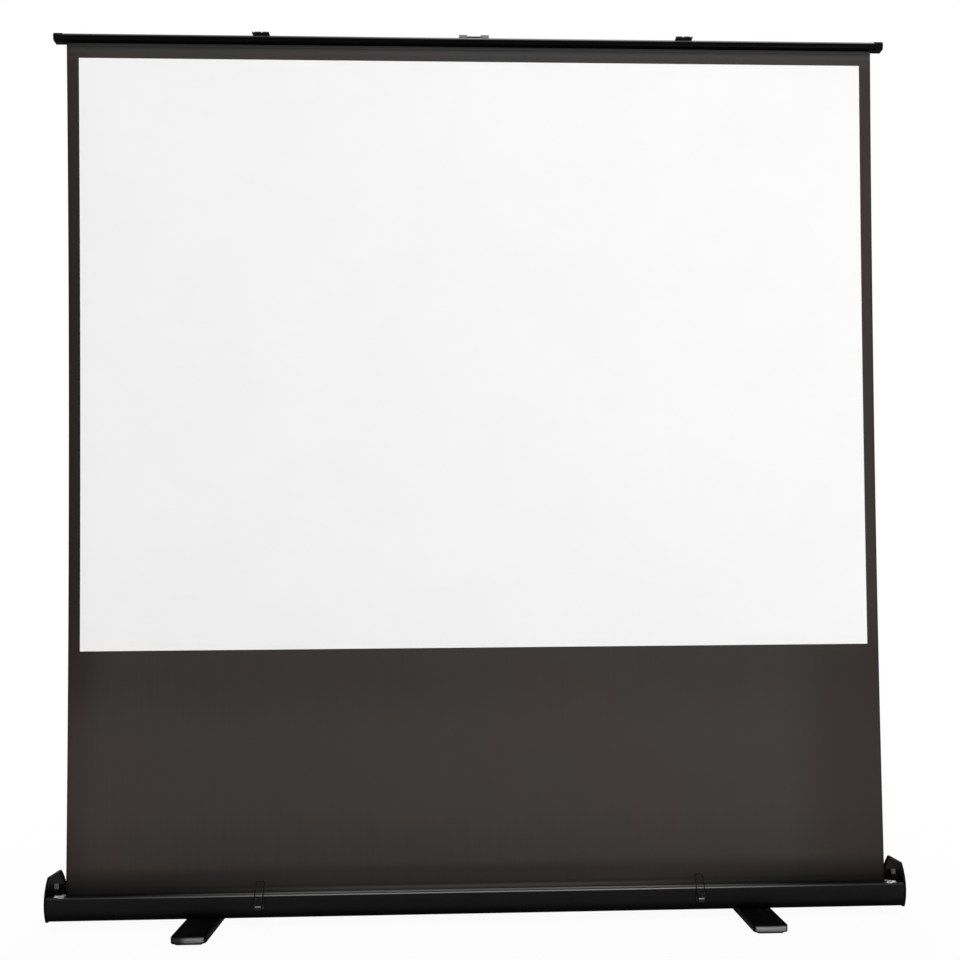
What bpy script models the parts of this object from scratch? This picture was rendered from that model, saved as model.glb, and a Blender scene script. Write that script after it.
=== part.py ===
"""Pull-up floor projector screen on a two-stage scissor frame.

The fabric winds out of a long case that stands on two swivelling feet. Two pairs of crossed arms
behind the fabric carry the top bar. Metres, +Z up, the screen faces -Y, and the floor is at Z = 0.
"""

import math

import bmesh
import bpy
from mathutils import Matrix, Vector

# Assembly gap left between pieces that touch, and play in a pivot
GAP = 0.0003
PIVOT_PLAY = 0.0003

# Screen fabric
IMAGE_WIDTH = 2.032
IMAGE_HEIGHT = 1.524
SIDE_BORDER = 0.0305
TOP_BORDER = 0.0385
BLACK_DROP = 0.6105
FABRIC_THICKNESS = 0.0004
FABRIC_SETBACK = 0.042
EDGE_WAIST = 0.004
EDGE_CURL = 0.005
CURL_WIDTH = 0.08

# Feet
FOOT_INSET = 0.380
FOOT_WIDTH = 0.085
FOOT_LENGTH = 0.360
FOOT_THICKNESS = 0.018
FOOT_BOW = 0.005
FOOT_EDGE_RADIUS = 0.0035
FOOT_WALL = 0.006
FOOT_POCKET_DEPTH = 0.011
FOOT_BOSS_RADIUS = 0.018
PAD_THICKNESS = 0.0025
PAD_LENGTH = 0.038
FOOT_WASHER_THICKNESS = 0.0015
FOOT_WASHER_RADIUS = 0.024
BOLT_RADIUS = 0.005
BOLT_HEAD_RADIUS = 0.0085
BOLT_HEAD_HEIGHT = 0.0055

# Case extrusion, with walls that bulge like a barrel
CASE_MARGIN = 0.0315
CASE_HEIGHT = 0.0588
CASE_WALL = 0.002
BARREL_DEPTH = 0.125
BARREL_RADIUS = 0.105
BULGE_HEIGHT = 0.0428
FRONT_LIP = 0.009
REAR_LIP = 0.006
LIP_RADIUS = 0.003
CASE_TOE = 0.004
CORNER_RADIUS = 0.0012
PORT_RADIUS = 0.003
PORT_HOLE_RADIUS = 0.0016
REAR_PORT_GAP = 0.004
MIDDLE_PORT_GAP = 0.0195
LEDGE_THICKNESS = 0.0012
LEDGE_REACH = 0.0025

# Case end caps with their ears
CAP_THICKNESS = 0.0052
CAP_PROUD = 0.0008
CAP_DROP = 0.0028
EAR_HEIGHT = 0.048
EAR_WALL = 0.0025
EAR_REAR_TAPER = 0.012
CRADLE_REACH = 0.0155
CRADLE_TAB = 0.008
CRADLE_WALL = 0.0025
CAP_SCREW_RADIUS = 0.0042
CAP_SCREW_DEPTH = 0.0016
SPIGOT_LENGTH = 0.011
SPIGOT_THICKNESS = 0.003

# Roller
TUBE_RADIUS = 0.0185
TUBE_WALL = 0.0014
TUBE_END_GAP = 0.005
ROLL_CLEARANCE = 0.0014
SPARE_TURNS = 2
ROLLER_PIN_RADIUS = 0.004
ARBOR_RADIUS = 0.005
ARBOR_LENGTH = 0.42
ROLLER_SPRING_RADIUS = 0.0112
ROLLER_SPRING_WIRE = 0.001
ROLLER_SPRING_PITCH = 0.0245
ROLLER_SPRING_TURNS = 14
ROLLER_BRACKET_INSET = 0.021
ROLLER_BRACKET_THICKNESS = 0.002
LIP_FLANGE_WIDTH = 0.026
LIP_FLANGE_DEPTH = 0.0132
GUIDE_ROD_RADIUS = 0.003
GUIDE_ROD_DROP = 0.006
COVER_THICKNESS = 0.0014
SLOT_GAP = 0.002

# Scissor frame
ARM_LENGTH = 1.24
ARM_HEIGHT = 0.025
ARM_THICKNESS = 0.012
ARM_CHANNEL_DEPTH = 0.003
ARM_CHANNEL_HEIGHT = 0.015
ARM_END_LENGTH = 0.036
PIVOT_SPACING = 0.44
LAYER_GAP = 0.003
SIDE_CLEARANCE = 0.001
CLOSED_ARM_GAP = 0.003
FRAME_SETBACK = 0.045
BRACKET_THICKNESS = 0.0025
BASE_BRACKET_WIDTH = 0.07
FLOOR_CLEARANCE = 0.0017
TOP_BRACKET_WIDTH = 0.05
PIN_RADIUS = 0.004
PIN_HEAD_RADIUS = 0.0085
PIN_HEAD_THICKNESS = 0.0018
WASHER_RADIUS = 0.0115
SPRING_RADIUS = 0.0104
SPRING_WIRE = 0.0011
SPRING_PITCH = 0.0027
SPRING_TURNS = 3
SPRING_LEG = 0.052

# Top bar
BAR_INSET = 0.0068
BAR_FRONT_REACH = 0.014
BAR_REAR_REACH = 0.018
BAR_HEIGHT = 0.0195
BAR_WALL = 0.0015
BAR_SLOT_WIDTH = 0.0022
HEM_CHAMBER_RADIUS = 0.0031
HEM_ROD_RADIUS = 0.0022
BAR_CLOSED_GAP = 0.003
BAR_CAP_LENGTH = 0.0215
BAR_CAP_END = 0.0035
BAR_CAP_PROUD = 0.0011

# Latches and their strikes
LATCH_SPACING = 1.11
LATCH_WIDTH = 0.023
LATCH_HEIGHT = 0.027
LATCH_DROP = 0.0075
LATCH_PLATE = 0.0015
LATCH_CHEEK = 0.0015
LATCH_CHEEK_RISE = 0.0042
LATCH_PIN_RADIUS = 0.0013
LATCH_PIN_STANDOFF = 0.0064
LATCH_PIN_DROP = 0.005
LEVER_WIDTH = 0.0136
LEVER_LENGTH = 0.020
LEVER_THICKNESS = 0.0016
LEVER_RIM = 0.0007
LEVER_FLARE = 0.0036
BAIL_WIRE = 0.0012
BAIL_EYE_DROP = 0.007
BAIL_EYE_SETBACK = 0.0037
BAIL_CLEARANCE = 0.0015
STRIKE_WIDTH = 0.044
STRIKE_INSET = 0.007
STRIKE_REACH = 0.0055
STRIKE_PLATE = 0.0015
STRIKE_LIP = 0.0035
NOTCH_PLAY = 0.0005

# Handle
HANDLE_SPAN = 0.0565
HANDLE_BRACKET_WIDTH = 0.0215
HANDLE_BRACKET_DEPTH = 0.018
HANDLE_BRACKET_HEIGHT = 0.0096
HANDLE_AXLE = 0.0028
HANDLE_AXLE_SETBACK = 0.006
HANDLE_WIRE = 0.0025
HANDLE_LEG = 0.040
HANDLE_GRIP_WIDTH = 0.062
GRIP_RADIUS = 0.0044

# Heights from the floor up
FOOT_BOTTOM = PAD_THICKNESS + GAP
FOOT_TOP = FOOT_BOTTOM + FOOT_THICKNESS
CASE_BOTTOM = FOOT_TOP + FOOT_WASHER_THICKNESS + 2 * GAP
FLOOR_TOP = CASE_BOTTOM + CASE_WALL
CASE_TOP = CASE_BOTTOM + CASE_HEIGHT
BULGE_Z = CASE_BOTTOM + BULGE_HEIGHT
CAP_BOTTOM = CASE_BOTTOM - CAP_DROP
EAR_TOP = CASE_TOP + EAR_HEIGHT
COVER_TOP = CASE_TOP - CASE_WALL - GAP
IMAGE_BOTTOM = CASE_TOP + BLACK_DROP
IMAGE_TOP = IMAGE_BOTTOM + IMAGE_HEIGHT
BAR_BOTTOM = IMAGE_TOP + TOP_BORDER
BAR_TOP = BAR_BOTTOM + BAR_HEIGHT
BAR_CLOSED = CASE_TOP + BAR_CLOSED_GAP

# Widths and depths
FABRIC_WIDTH = IMAGE_WIDTH + 2 * SIDE_BORDER
FABRIC_Y = FABRIC_SETBACK - BARREL_DEPTH / 2
BAR_FRONT = FABRIC_Y - BAR_FRONT_REACH
BAR_REAR = FABRIC_Y + BAR_REAR_REACH
CASE_END = FABRIC_WIDTH / 2 + CASE_MARGIN
CAP_FACE = CASE_END + GAP
BAR_END = CASE_END - BAR_INSET
LATCH_X = LATCH_SPACING / 2
FOOT_X = CASE_END - FOOT_INSET
PIVOT_X = PIVOT_SPACING / 2
LATCH_CHEEK_IN = LEVER_WIDTH / 2 + PIVOT_PLAY
LATCH_CHEEK_OUT = LATCH_CHEEK_IN + LATCH_CHEEK
BAIL_LEG_X = LATCH_CHEEK_OUT + GAP + BAIL_WIRE


def wall_depth(z):
    """Half the case's depth at a height: each wall is one arc, widest at the bulge."""
    rise = z - BULGE_Z
    return BARREL_DEPTH / 2 - (BARREL_RADIUS - math.sqrt(BARREL_RADIUS**2 - rise**2))


# Roller: the radius of the full roll sets where its axis lies
TRAVEL = BAR_BOTTOM - BAR_CLOSED
ROLL_AREA = TRAVEL * FABRIC_THICKNESS / math.pi
BARE_ROLL_RADIUS = TUBE_RADIUS + GAP + SPARE_TURNS * FABRIC_THICKNESS
FULL_ROLL_RADIUS = math.sqrt(BARE_ROLL_RADIUS**2 + ROLL_AREA)
ROLLER_Z = FLOOR_TOP + ROLL_CLEARANCE + FULL_ROLL_RADIUS
ROLLER_Y = ROLL_CLEARANCE + FULL_ROLL_RADIUS + CASE_WALL - wall_depth(ROLLER_Z)
ROLLER_BRACKET_X = CASE_END - ROLLER_BRACKET_INSET
TUBE_END = ROLLER_BRACKET_X - TUBE_END_GAP
GUIDE_ROD_Y = FABRIC_Y + FABRIC_THICKNESS / 2 + GAP + GUIDE_ROD_RADIUS
GUIDE_ROD_Z = CASE_TOP - GUIDE_ROD_DROP

# Scissor frame: layers counted from its middle plane, and the arm angle that reaches the bar
FRAME_Y = FRAME_SETBACK + FABRIC_Y
LAYER_INNER = LAYER_GAP / 2
LAYER_OUTER = LAYER_INNER + ARM_THICKNESS
CHEEK_INNER = LAYER_OUTER + SIDE_CLEARANCE
CHEEK_OUTER = CHEEK_INNER + BRACKET_THICKNESS
ARM_RADIUS = ARM_HEIGHT / 2
BASE_FLANGE_TOP = FLOOR_TOP + GAP + BRACKET_THICKNESS
BASE_PIVOT_Z = BASE_FLANGE_TOP + FLOOR_CLEARANCE + ARM_RADIUS
CLOSED_ANGLE = math.asin((ARM_HEIGHT + CLOSED_ARM_GAP) / (2 * (ARM_LENGTH - PIVOT_X)))
CLOSED_RISE = 2 * ARM_LENGTH * math.sin(CLOSED_ANGLE)
TOP_PIVOT_DROP = BAR_CLOSED - BASE_PIVOT_Z - CLOSED_RISE
TOP_PIVOT_Z = BAR_BOTTOM - TOP_PIVOT_DROP
RAISED_ANGLE = math.asin((TOP_PIVOT_Z - BASE_PIVOT_Z) / (2 * ARM_LENGTH))
ELBOW_X = ARM_LENGTH * math.cos(RAISED_ANGLE) - PIVOT_X
ELBOW_Z = BASE_PIVOT_Z + ARM_LENGTH * math.sin(RAISED_ANGLE)

# Colour, roughness and metallic value of each finish
FINISHES = {
    "black_anodised": ((0.012, 0.012, 0.012), 0.38, 0.6),
    "black_plastic": ((0.010, 0.010, 0.010), 0.5, 0.0),
    "black_rubber": ((0.008, 0.008, 0.008), 0.85, 0.0),
    "grey_plastic": ((0.20, 0.20, 0.20), 0.45, 0.0),
    "white_nylon": ((0.75, 0.74, 0.70), 0.5, 0.0),
    "zinc_steel": ((0.62, 0.62, 0.60), 0.35, 1.0),
    "dark_steel": ((0.06, 0.06, 0.06), 0.35, 1.0),
    "spring_steel": ((0.30, 0.30, 0.30), 0.3, 1.0),
    "bare_aluminium": ((0.72, 0.72, 0.72), 0.35, 1.0),
    "black_fabric": ((0.028, 0.025, 0.024), 0.8, 0.0),
    "white_fabric": ((0.9, 0.9, 0.9), 0.8, 0.0),
}


for leftover in list(bpy.data.objects):
    bpy.data.objects.remove(leftover, do_unlink=True)

PARTS = bpy.data.collections.new("floor_rising_screen")
CUTTERS = bpy.data.collections.new("cutters")
bpy.context.scene.collection.children.link(PARTS)
bpy.context.scene.collection.children.link(CUTTERS)
CUTTERS.hide_render = True


def finish_material(name, finish):
    """A Principled material of one of the finishes, named for its piece."""
    colour, roughness, metallic = FINISHES[finish]
    material = bpy.data.materials.new(name)
    material.use_nodes = True
    shader = material.node_tree.nodes["Principled BSDF"]
    shader.inputs["Base Color"].default_value = (*colour, 1.0)
    shader.inputs["Roughness"].default_value = roughness
    shader.inputs["Metallic"].default_value = metallic
    material.diffuse_color = (*colour, 1.0)
    return material


def world_origin(obj):
    """Where an unrotated chain of parents puts this object's origin."""
    if obj is None:
        return Vector((0, 0, 0))
    return obj.location + world_origin(obj.parent)


def pivot(name, location, parent=None):
    """An empty on a joint's axis, which carries the pieces that turn there."""
    empty = bpy.data.objects.new(name, None)
    empty.empty_display_size = 0.03
    empty.parent = parent
    empty.location = Vector(location) - world_origin(parent)
    PARTS.objects.link(empty)
    return empty


def place(obj, location, parent, finish):
    """Puts a finished piece at a world place, on its parent, with its own material."""
    obj.parent = parent
    obj.location = Vector(location) - world_origin(parent)
    if finish is None:
        CUTTERS.objects.link(obj)
        obj.hide_render = True
        obj.display_type = "WIRE"
        return obj
    PARTS.objects.link(obj)
    obj.data.materials.append(finish_material(obj.name, finish))
    return obj


AXIS_TURN = {
    "X": Matrix.Rotation(math.pi / 2, 3, "Z") @ Matrix.Rotation(math.pi / 2, 3, "X"),
    "Y": Matrix.Rotation(math.pi / 2, 3, "X"),
    "Z": Matrix.Identity(3),
}


def slab(name, outlines, low, high, axis, finish, parent=None, at=(0, 0), turn=0.0, edge=0.0,
         edge_steps=1):
    """Flat outlines extruded along an axis from low to high; turn tilts them about that axis.

    An X slab has its outline in (Y, Z), a Y slab in (X, Z) and a Z slab in (X, Y). The outlines
    are measured from the point at, which is the piece's own origin. Their rims are rounded by edge.
    """
    curve = bpy.data.curves.new(name, "CURVE")
    curve.dimensions = "2D"
    curve.fill_mode = "BOTH"
    curve.extrude = (high - low) / 2 - edge
    curve.bevel_depth = edge
    curve.bevel_resolution = edge_steps
    curve.offset = -edge
    for outline in outlines:
        spline = curve.splines.new("POLY")
        spline.points.add(len(outline) - 1)
        for point, (across, up) in zip(spline.points, outline):
            point.co = (across, up, 0, 1)
        spline.use_cyclic_u = True
    middle = (low + high) / 2
    centre = {"X": (middle, *at), "Y": (at[0], middle, at[1]), "Z": (*at, middle)}[axis]
    obj = bpy.data.objects.new(name, curve_mesh(name, curve, 35))
    tilt = Matrix.Rotation(turn, 3, axis)
    obj.rotation_euler = (tilt @ AXIS_TURN[axis]).to_euler()
    return place(obj, centre, parent, finish)


def curve_mesh(name, curve, sharp_angle):
    """A curve's solid as a mesh, with its loose caps joined to its sides."""
    drawn = bpy.data.objects.new(name + "_drawn", curve)
    bpy.context.scene.collection.objects.link(drawn)
    mesh = bpy.data.meshes.new_from_object(drawn.evaluated_get(bpy.context.evaluated_depsgraph_get()))
    bpy.data.objects.remove(drawn, do_unlink=True)
    bpy.data.curves.remove(curve)
    mesh.name = name
    shape = bmesh.new()
    shape.from_mesh(mesh)
    bmesh.ops.remove_doubles(shape, verts=shape.verts, dist=1e-6)
    bmesh.ops.recalc_face_normals(shape, faces=shape.faces)
    shape.to_mesh(mesh)
    shape.free()
    mesh.shade_smooth()
    mesh.set_sharp_from_angle(angle=math.radians(sharp_angle))
    return mesh


def box(name, low, high, finish, parent=None, bevel=0.0):
    """A box between two world corners, with rounded edges where bevel is set."""
    mesh = bpy.data.meshes.new(name)
    shape = bmesh.new()
    bmesh.ops.create_cube(shape, size=1.0)
    size = Vector(high) - Vector(low)
    bmesh.ops.scale(shape, vec=size, verts=shape.verts)
    shape.to_mesh(mesh)
    shape.free()
    obj = bpy.data.objects.new(name, mesh)
    if bevel:
        soften(obj, bevel)
    return place(obj, (Vector(low) + Vector(high)) / 2, parent, finish)


def soften(obj, width, segments=2, angle=40):
    """Rounded edges."""
    bevel = obj.modifiers.new("rounded edges", "BEVEL")
    bevel.width = width
    bevel.segments = segments
    bevel.limit_method = "ANGLE"
    bevel.angle_limit = math.radians(angle)
    return obj


def turned(name, profile, axis, location, finish, parent=None, steps=20):
    """A turned piece. Its profile is (radius, height) pairs, down the outside from top to bottom."""
    mesh = bpy.data.meshes.new(name)
    closed = profile[0][0] > 0
    edges = [(i, i + 1) for i in range(len(profile) - 1)]
    if closed:
        edges.append((len(profile) - 1, 0))
    mesh.from_pydata([(radius, 0, height) for radius, height in profile], edges, [])
    obj = bpy.data.objects.new(name, mesh)
    screw = obj.modifiers.new("turned", "SCREW")
    screw.axis = "Z"
    screw.steps = steps
    screw.render_steps = steps
    screw.use_merge_vertices = True
    screw.merge_threshold = 0.00001
    screw.use_smooth_shade = True
    quarter = math.pi / 2
    obj.rotation_euler = {"X": (0, quarter, 0), "Y": (-quarter, 0, 0), "Z": (0, 0, 0)}[axis]
    return place(obj, location, parent, finish)


def disc(name, radius, low, high, axis, across, finish, parent=None, hole=0.0, steps=20):
    """A plain round bar, or a ring where hole is set, from low to high along an axis."""
    half = (high - low) / 2
    middle = (low + high) / 2
    centre = {"X": (middle, *across), "Y": (across[0], middle, across[1]), "Z": (*across, middle)}[axis]
    if hole:
        ring = [(hole, half), (radius, half), (radius, -half), (hole, -half)]
        return turned(name, ring, axis, centre, finish, parent, steps)
    mesh = bpy.data.meshes.new(name)
    shape = bmesh.new()
    bmesh.ops.create_cone(shape, cap_ends=True, segments=steps, radius1=radius, radius2=radius, depth=2 * half)
    shape.to_mesh(mesh)
    shape.free()
    mesh.shade_smooth()
    mesh.set_sharp_from_angle(angle=math.radians(35))
    obj = bpy.data.objects.new(name, mesh)
    obj.rotation_euler = AXIS_TURN[axis].to_euler()
    return place(obj, centre, parent, finish)


def wire(name, points, radius, origin, finish, parent=None, sides=2):
    """A bent wire through world points, as one tube with closed ends."""
    curve = bpy.data.curves.new(name, "CURVE")
    curve.dimensions = "3D"
    curve.bevel_depth = radius
    curve.bevel_resolution = sides
    curve.use_fill_caps = True
    curve.twist_mode = "MINIMUM"
    spline = curve.splines.new("POLY")
    spline.points.add(len(points) - 1)
    spline.use_smooth = True
    for point, place_in_world in zip(spline.points, points):
        point.co = (*(Vector(place_in_world) - Vector(origin)), 1)
    return place(bpy.data.objects.new(name, curve_mesh(name, curve, 70)), origin, parent, finish)


def boolean(target, tool, operation):
    """Cuts a tool from a piece, or joins it on. A tool moves with its piece."""
    modifier = target.modifiers.new(tool.name, "BOOLEAN")
    modifier.object = tool
    modifier.operation = operation
    modifier.solver = "EXACT"


def cut(target, *tools):
    for tool in tools:
        boolean(target, tool, "DIFFERENCE")
    return target


def join(target, *additions):
    for addition in additions:
        boolean(target, addition, "UNION")
    return target


def arc(centre, radius, start, end, steps):
    """Points along an arc between two angles in degrees, both ends included."""
    angles = [math.radians(start + (end - start) * i / steps) for i in range(steps + 1)]
    return [(centre[0] + radius * math.cos(a), centre[1] + radius * math.sin(a)) for a in angles]


def rounded(corners, steps=3):
    """An outline through corners (x, y, radius), with an arc in place of each rounded corner."""
    points = []
    for i, (x, y, radius) in enumerate(corners):
        corner = Vector((x, y))
        if radius == 0:
            points.append(tuple(corner))
            continue
        before = (Vector(corners[i - 1][:2]) - corner).normalized()
        after = (Vector(corners[(i + 1) % len(corners)][:2]) - corner).normalized()
        half_angle = before.angle(after) / 2
        centre = corner + (before + after).normalized() * radius / math.sin(half_angle)
        first = corner + before * radius / math.tan(half_angle) - centre
        last = corner + after * radius / math.tan(half_angle) - centre
        start = math.degrees(math.atan2(first.y, first.x))
        sweep = math.degrees(math.atan2(last.y, last.x)) - start
        sweep = (sweep + 180) % 360 - 180
        points += arc(centre, radius, start, start + sweep, steps)
    return points


def circle(centre, radius, steps=20):
    """A closed ring of points."""
    return arc(centre, radius, 0, 360 - 360 / steps, steps - 1)


def grown(outline, distance):
    """A counterclockwise outline moved outwards along its normals."""
    moved = []
    for i, point in enumerate(outline):
        before = (Vector(point) - Vector(outline[i - 1])).normalized()
        after = (Vector(outline[(i + 1) % len(outline)]) - Vector(point)).normalized()
        normal = Vector((before.y + after.y, -before.x - after.x))
        normal = normal / (1 + before.dot(after))
        moved.append(tuple(Vector(point) + normal * distance))
    return moved


def fillet_path(corners, radius, steps=3):
    """A wire's centre line through corners, with each inner corner bent to a radius."""
    points = [Vector(corners[0])]
    for before, corner, after in zip(corners, corners[1:], corners[2:]):
        corner = Vector(corner)
        back = (Vector(before) - corner).normalized()
        ahead = (Vector(after) - corner).normalized()
        half_angle = back.angle(ahead) / 2
        centre = corner + (back + ahead).normalized() * radius / math.sin(half_angle)
        first = corner + back * radius / math.tan(half_angle) - centre
        last = corner + ahead * radius / math.tan(half_angle) - centre
        sweep = first.angle(last)
        for i in range(steps + 1):
            share = i / steps
            weights = math.sin((1 - share) * sweep), math.sin(share * sweep)
            points.append(centre + (first * weights[0] + last * weights[1]) / math.sin(sweep))
    points.append(Vector(corners[-1]))
    return points


def coil_points(centre, axis, radius, pitch, turns, start_angle, per_turn=9):
    """Points of a helix along +axis or -axis, which is a signed unit vector along X or Y."""
    forward = Vector(axis)
    side = Vector((0, 0, 1))
    across = forward.cross(side)
    points = []
    for i in range(round(turns * per_turn) + 1):
        angle = start_angle + 2 * math.pi * i / per_turn
        along = forward * pitch * i / per_turn
        points.append(Vector(centre) + along + (across * math.cos(angle) + side * math.sin(angle)) * radius)
    return points


def print_least_gap(name, points, wire_radius, per_turn=9):
    """Measures how near a coil's turns come to each other, on its points."""
    pairs = [(a, b) for i, a in enumerate(points) for b in points[i + per_turn - 2 : i + 2 * per_turn]]
    least = min((a - b).length for a, b in pairs) - 2 * wire_radius
    print(f"{name}: least gap between turns {least * 1000:.2f} mm")


def screw_port(centre, wall_angle, slit_angle):
    """A C-shaped screw channel on a wall, as points from the wall round and back to it.

    The port stands on its wall at minus and plus wall_angle from straight down, and it is open
    at the top over slit_angle. Angles are in degrees.
    """
    outer_start = -90 + wall_angle
    slit = slit_angle / 2
    first = arc(centre, PORT_RADIUS, outer_start, 90 - slit, 4)
    inner = arc(centre, PORT_HOLE_RADIUS, 90 - slit, -270 + slit, 9)
    second = arc(centre, PORT_RADIUS, 90 + slit, 270 - wall_angle, 4)
    return first + inner + second


PORT_LIFT = PORT_RADIUS * math.cos(math.radians(50))
REAR_LIP_PORT = (wall_depth(CASE_TOP) - REAR_LIP, CASE_TOP - CASE_WALL - PORT_LIFT)
FLOOR_PORTS = [(y, FLOOR_TOP + PORT_LIFT) for y in (FRAME_Y + CHEEK_OUTER + REAR_PORT_GAP, ROLLER_Y + MIDDLE_PORT_GAP)]


def make_case():
    """The channel: barrel walls, in-turned lips, a ledge for the roller cover and screw ports."""
    walls = 6
    lip_drop = CASE_WALL
    low = CASE_BOTTOM + CASE_TOE
    outside = [(-wall_depth(CASE_BOTTOM) + CASE_WALL, CASE_BOTTOM, 0)]
    outside.append((wall_depth(CASE_BOTTOM) - CASE_WALL, CASE_BOTTOM, 0))
    heights = [low + (CASE_TOP - 1.3 * LIP_RADIUS - low) * i / walls for i in range(walls + 1)]
    outside += [(wall_depth(z), z, 0) for z in heights]
    outside.append((wall_depth(CASE_TOP), CASE_TOP, LIP_RADIUS))
    outside.append((wall_depth(CASE_TOP) - REAR_LIP - CASE_WALL, CASE_TOP, 0))
    outside.append((wall_depth(CASE_TOP) - REAR_LIP - CASE_WALL, CASE_TOP - lip_drop, 0))

    lip_under = CASE_TOP - CASE_WALL
    port = screw_port((0, 0), 50, 60)
    outside += [(REAR_LIP_PORT[0] - y, REAR_LIP_PORT[1] - z, 0) for y, z in port]
    inner_heights = [z for z in reversed(heights) if z > FLOOR_TOP + 2.5 * CORNER_RADIUS]
    outside.append((wall_depth(lip_under) - CASE_WALL, lip_under, CORNER_RADIUS / 2))
    outside += [(wall_depth(z) - CASE_WALL, z, 0) for z in inner_heights]
    outside.append((wall_depth(FLOOR_TOP) - CASE_WALL, FLOOR_TOP, CORNER_RADIUS))
    for port_y, port_z in FLOOR_PORTS:
        outside += [(port_y + y, port_z + z, 0) for y, z in port]

    outside.append((-wall_depth(FLOOR_TOP) + CASE_WALL, FLOOR_TOP, CORNER_RADIUS))
    ledge_top = COVER_TOP - COVER_THICKNESS - GAP
    ledge_bottom = ledge_top - LEDGE_THICKNESS
    outside += [(CASE_WALL - wall_depth(z), z, 0) for z in reversed(inner_heights) if z < ledge_bottom - CASE_WALL]
    outside.append((CASE_WALL - wall_depth(ledge_bottom), ledge_bottom, 0))
    outside.append((CASE_WALL - wall_depth(ledge_bottom) + LEDGE_REACH, ledge_bottom, 0))
    outside.append((CASE_WALL - wall_depth(ledge_top) + LEDGE_REACH, ledge_top, 0))
    outside.append((CASE_WALL - wall_depth(ledge_top), ledge_top, 0))
    outside.append((CASE_WALL - wall_depth(lip_under), lip_under, 0))
    outside.append((FRONT_LIP - wall_depth(CASE_TOP), lip_under, 0))
    outside.append((FRONT_LIP - wall_depth(CASE_TOP), CASE_TOP, 0))
    outside.append((-wall_depth(CASE_TOP), CASE_TOP, LIP_RADIUS))
    outside += [(-wall_depth(z), z, 0) for z in reversed(heights)]
    outline = rounded(outside)
    case = slab("case_extrusion", [outline], -CASE_END, CASE_END, "X", "black_anodised")
    for side in (-1, 1):
        hole = disc("foot_hole", BOLT_RADIUS + PIVOT_PLAY, CASE_BOTTOM - 0.01, FLOOR_TOP + 0.01, "Z",
                    (side * FOOT_X, 0), None)
        cut(case, hole)
    return case


def make_roller_cover():
    """The strip that closes the front bay, from under the front lip to the fabric slot."""
    under = COVER_TOP - COVER_THICKNESS
    front = CASE_WALL + GAP * 2 - wall_depth(COVER_TOP)
    rear = FABRIC_Y - SLOT_GAP
    outline = rounded([
        (front, under, 0), (rear - 0.0045, under, 0), (rear - 0.003, under - 0.0015, 0),
        (rear, under - 0.0015, 0.0006), (rear, COVER_TOP, 0.0012), (front, COVER_TOP, 0),
    ])
    end = ROLLER_BRACKET_X - GAP * 4
    slab("roller_cover", [outline], -end, end, "X", "black_anodised")


def cap_outline(inset, low, high, corner, steps=7):
    """The barrel outline of an end cap between two heights, moved inwards by inset.

    Above the case the ear's rear edge leans forward by the taper.
    """
    heights = [low + (high - low) * i / steps for i in range(steps + 1)]
    front = [(inset - CAP_PROUD - wall_depth(z), z) for z in heights]
    rear = [(-y - EAR_REAR_TAPER * max(0, z - CASE_TOP) / EAR_HEIGHT, z) for y, z in front]
    middle = [(*point, 0) for point in rear[1:-1]]
    back_down = [(*point, 0) for point in reversed(front[1:-1])]
    return rounded([(*front[0], corner), (*rear[0], corner), *middle, (*rear[-1], corner),
                    (*front[-1], corner), *back_down])


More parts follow.
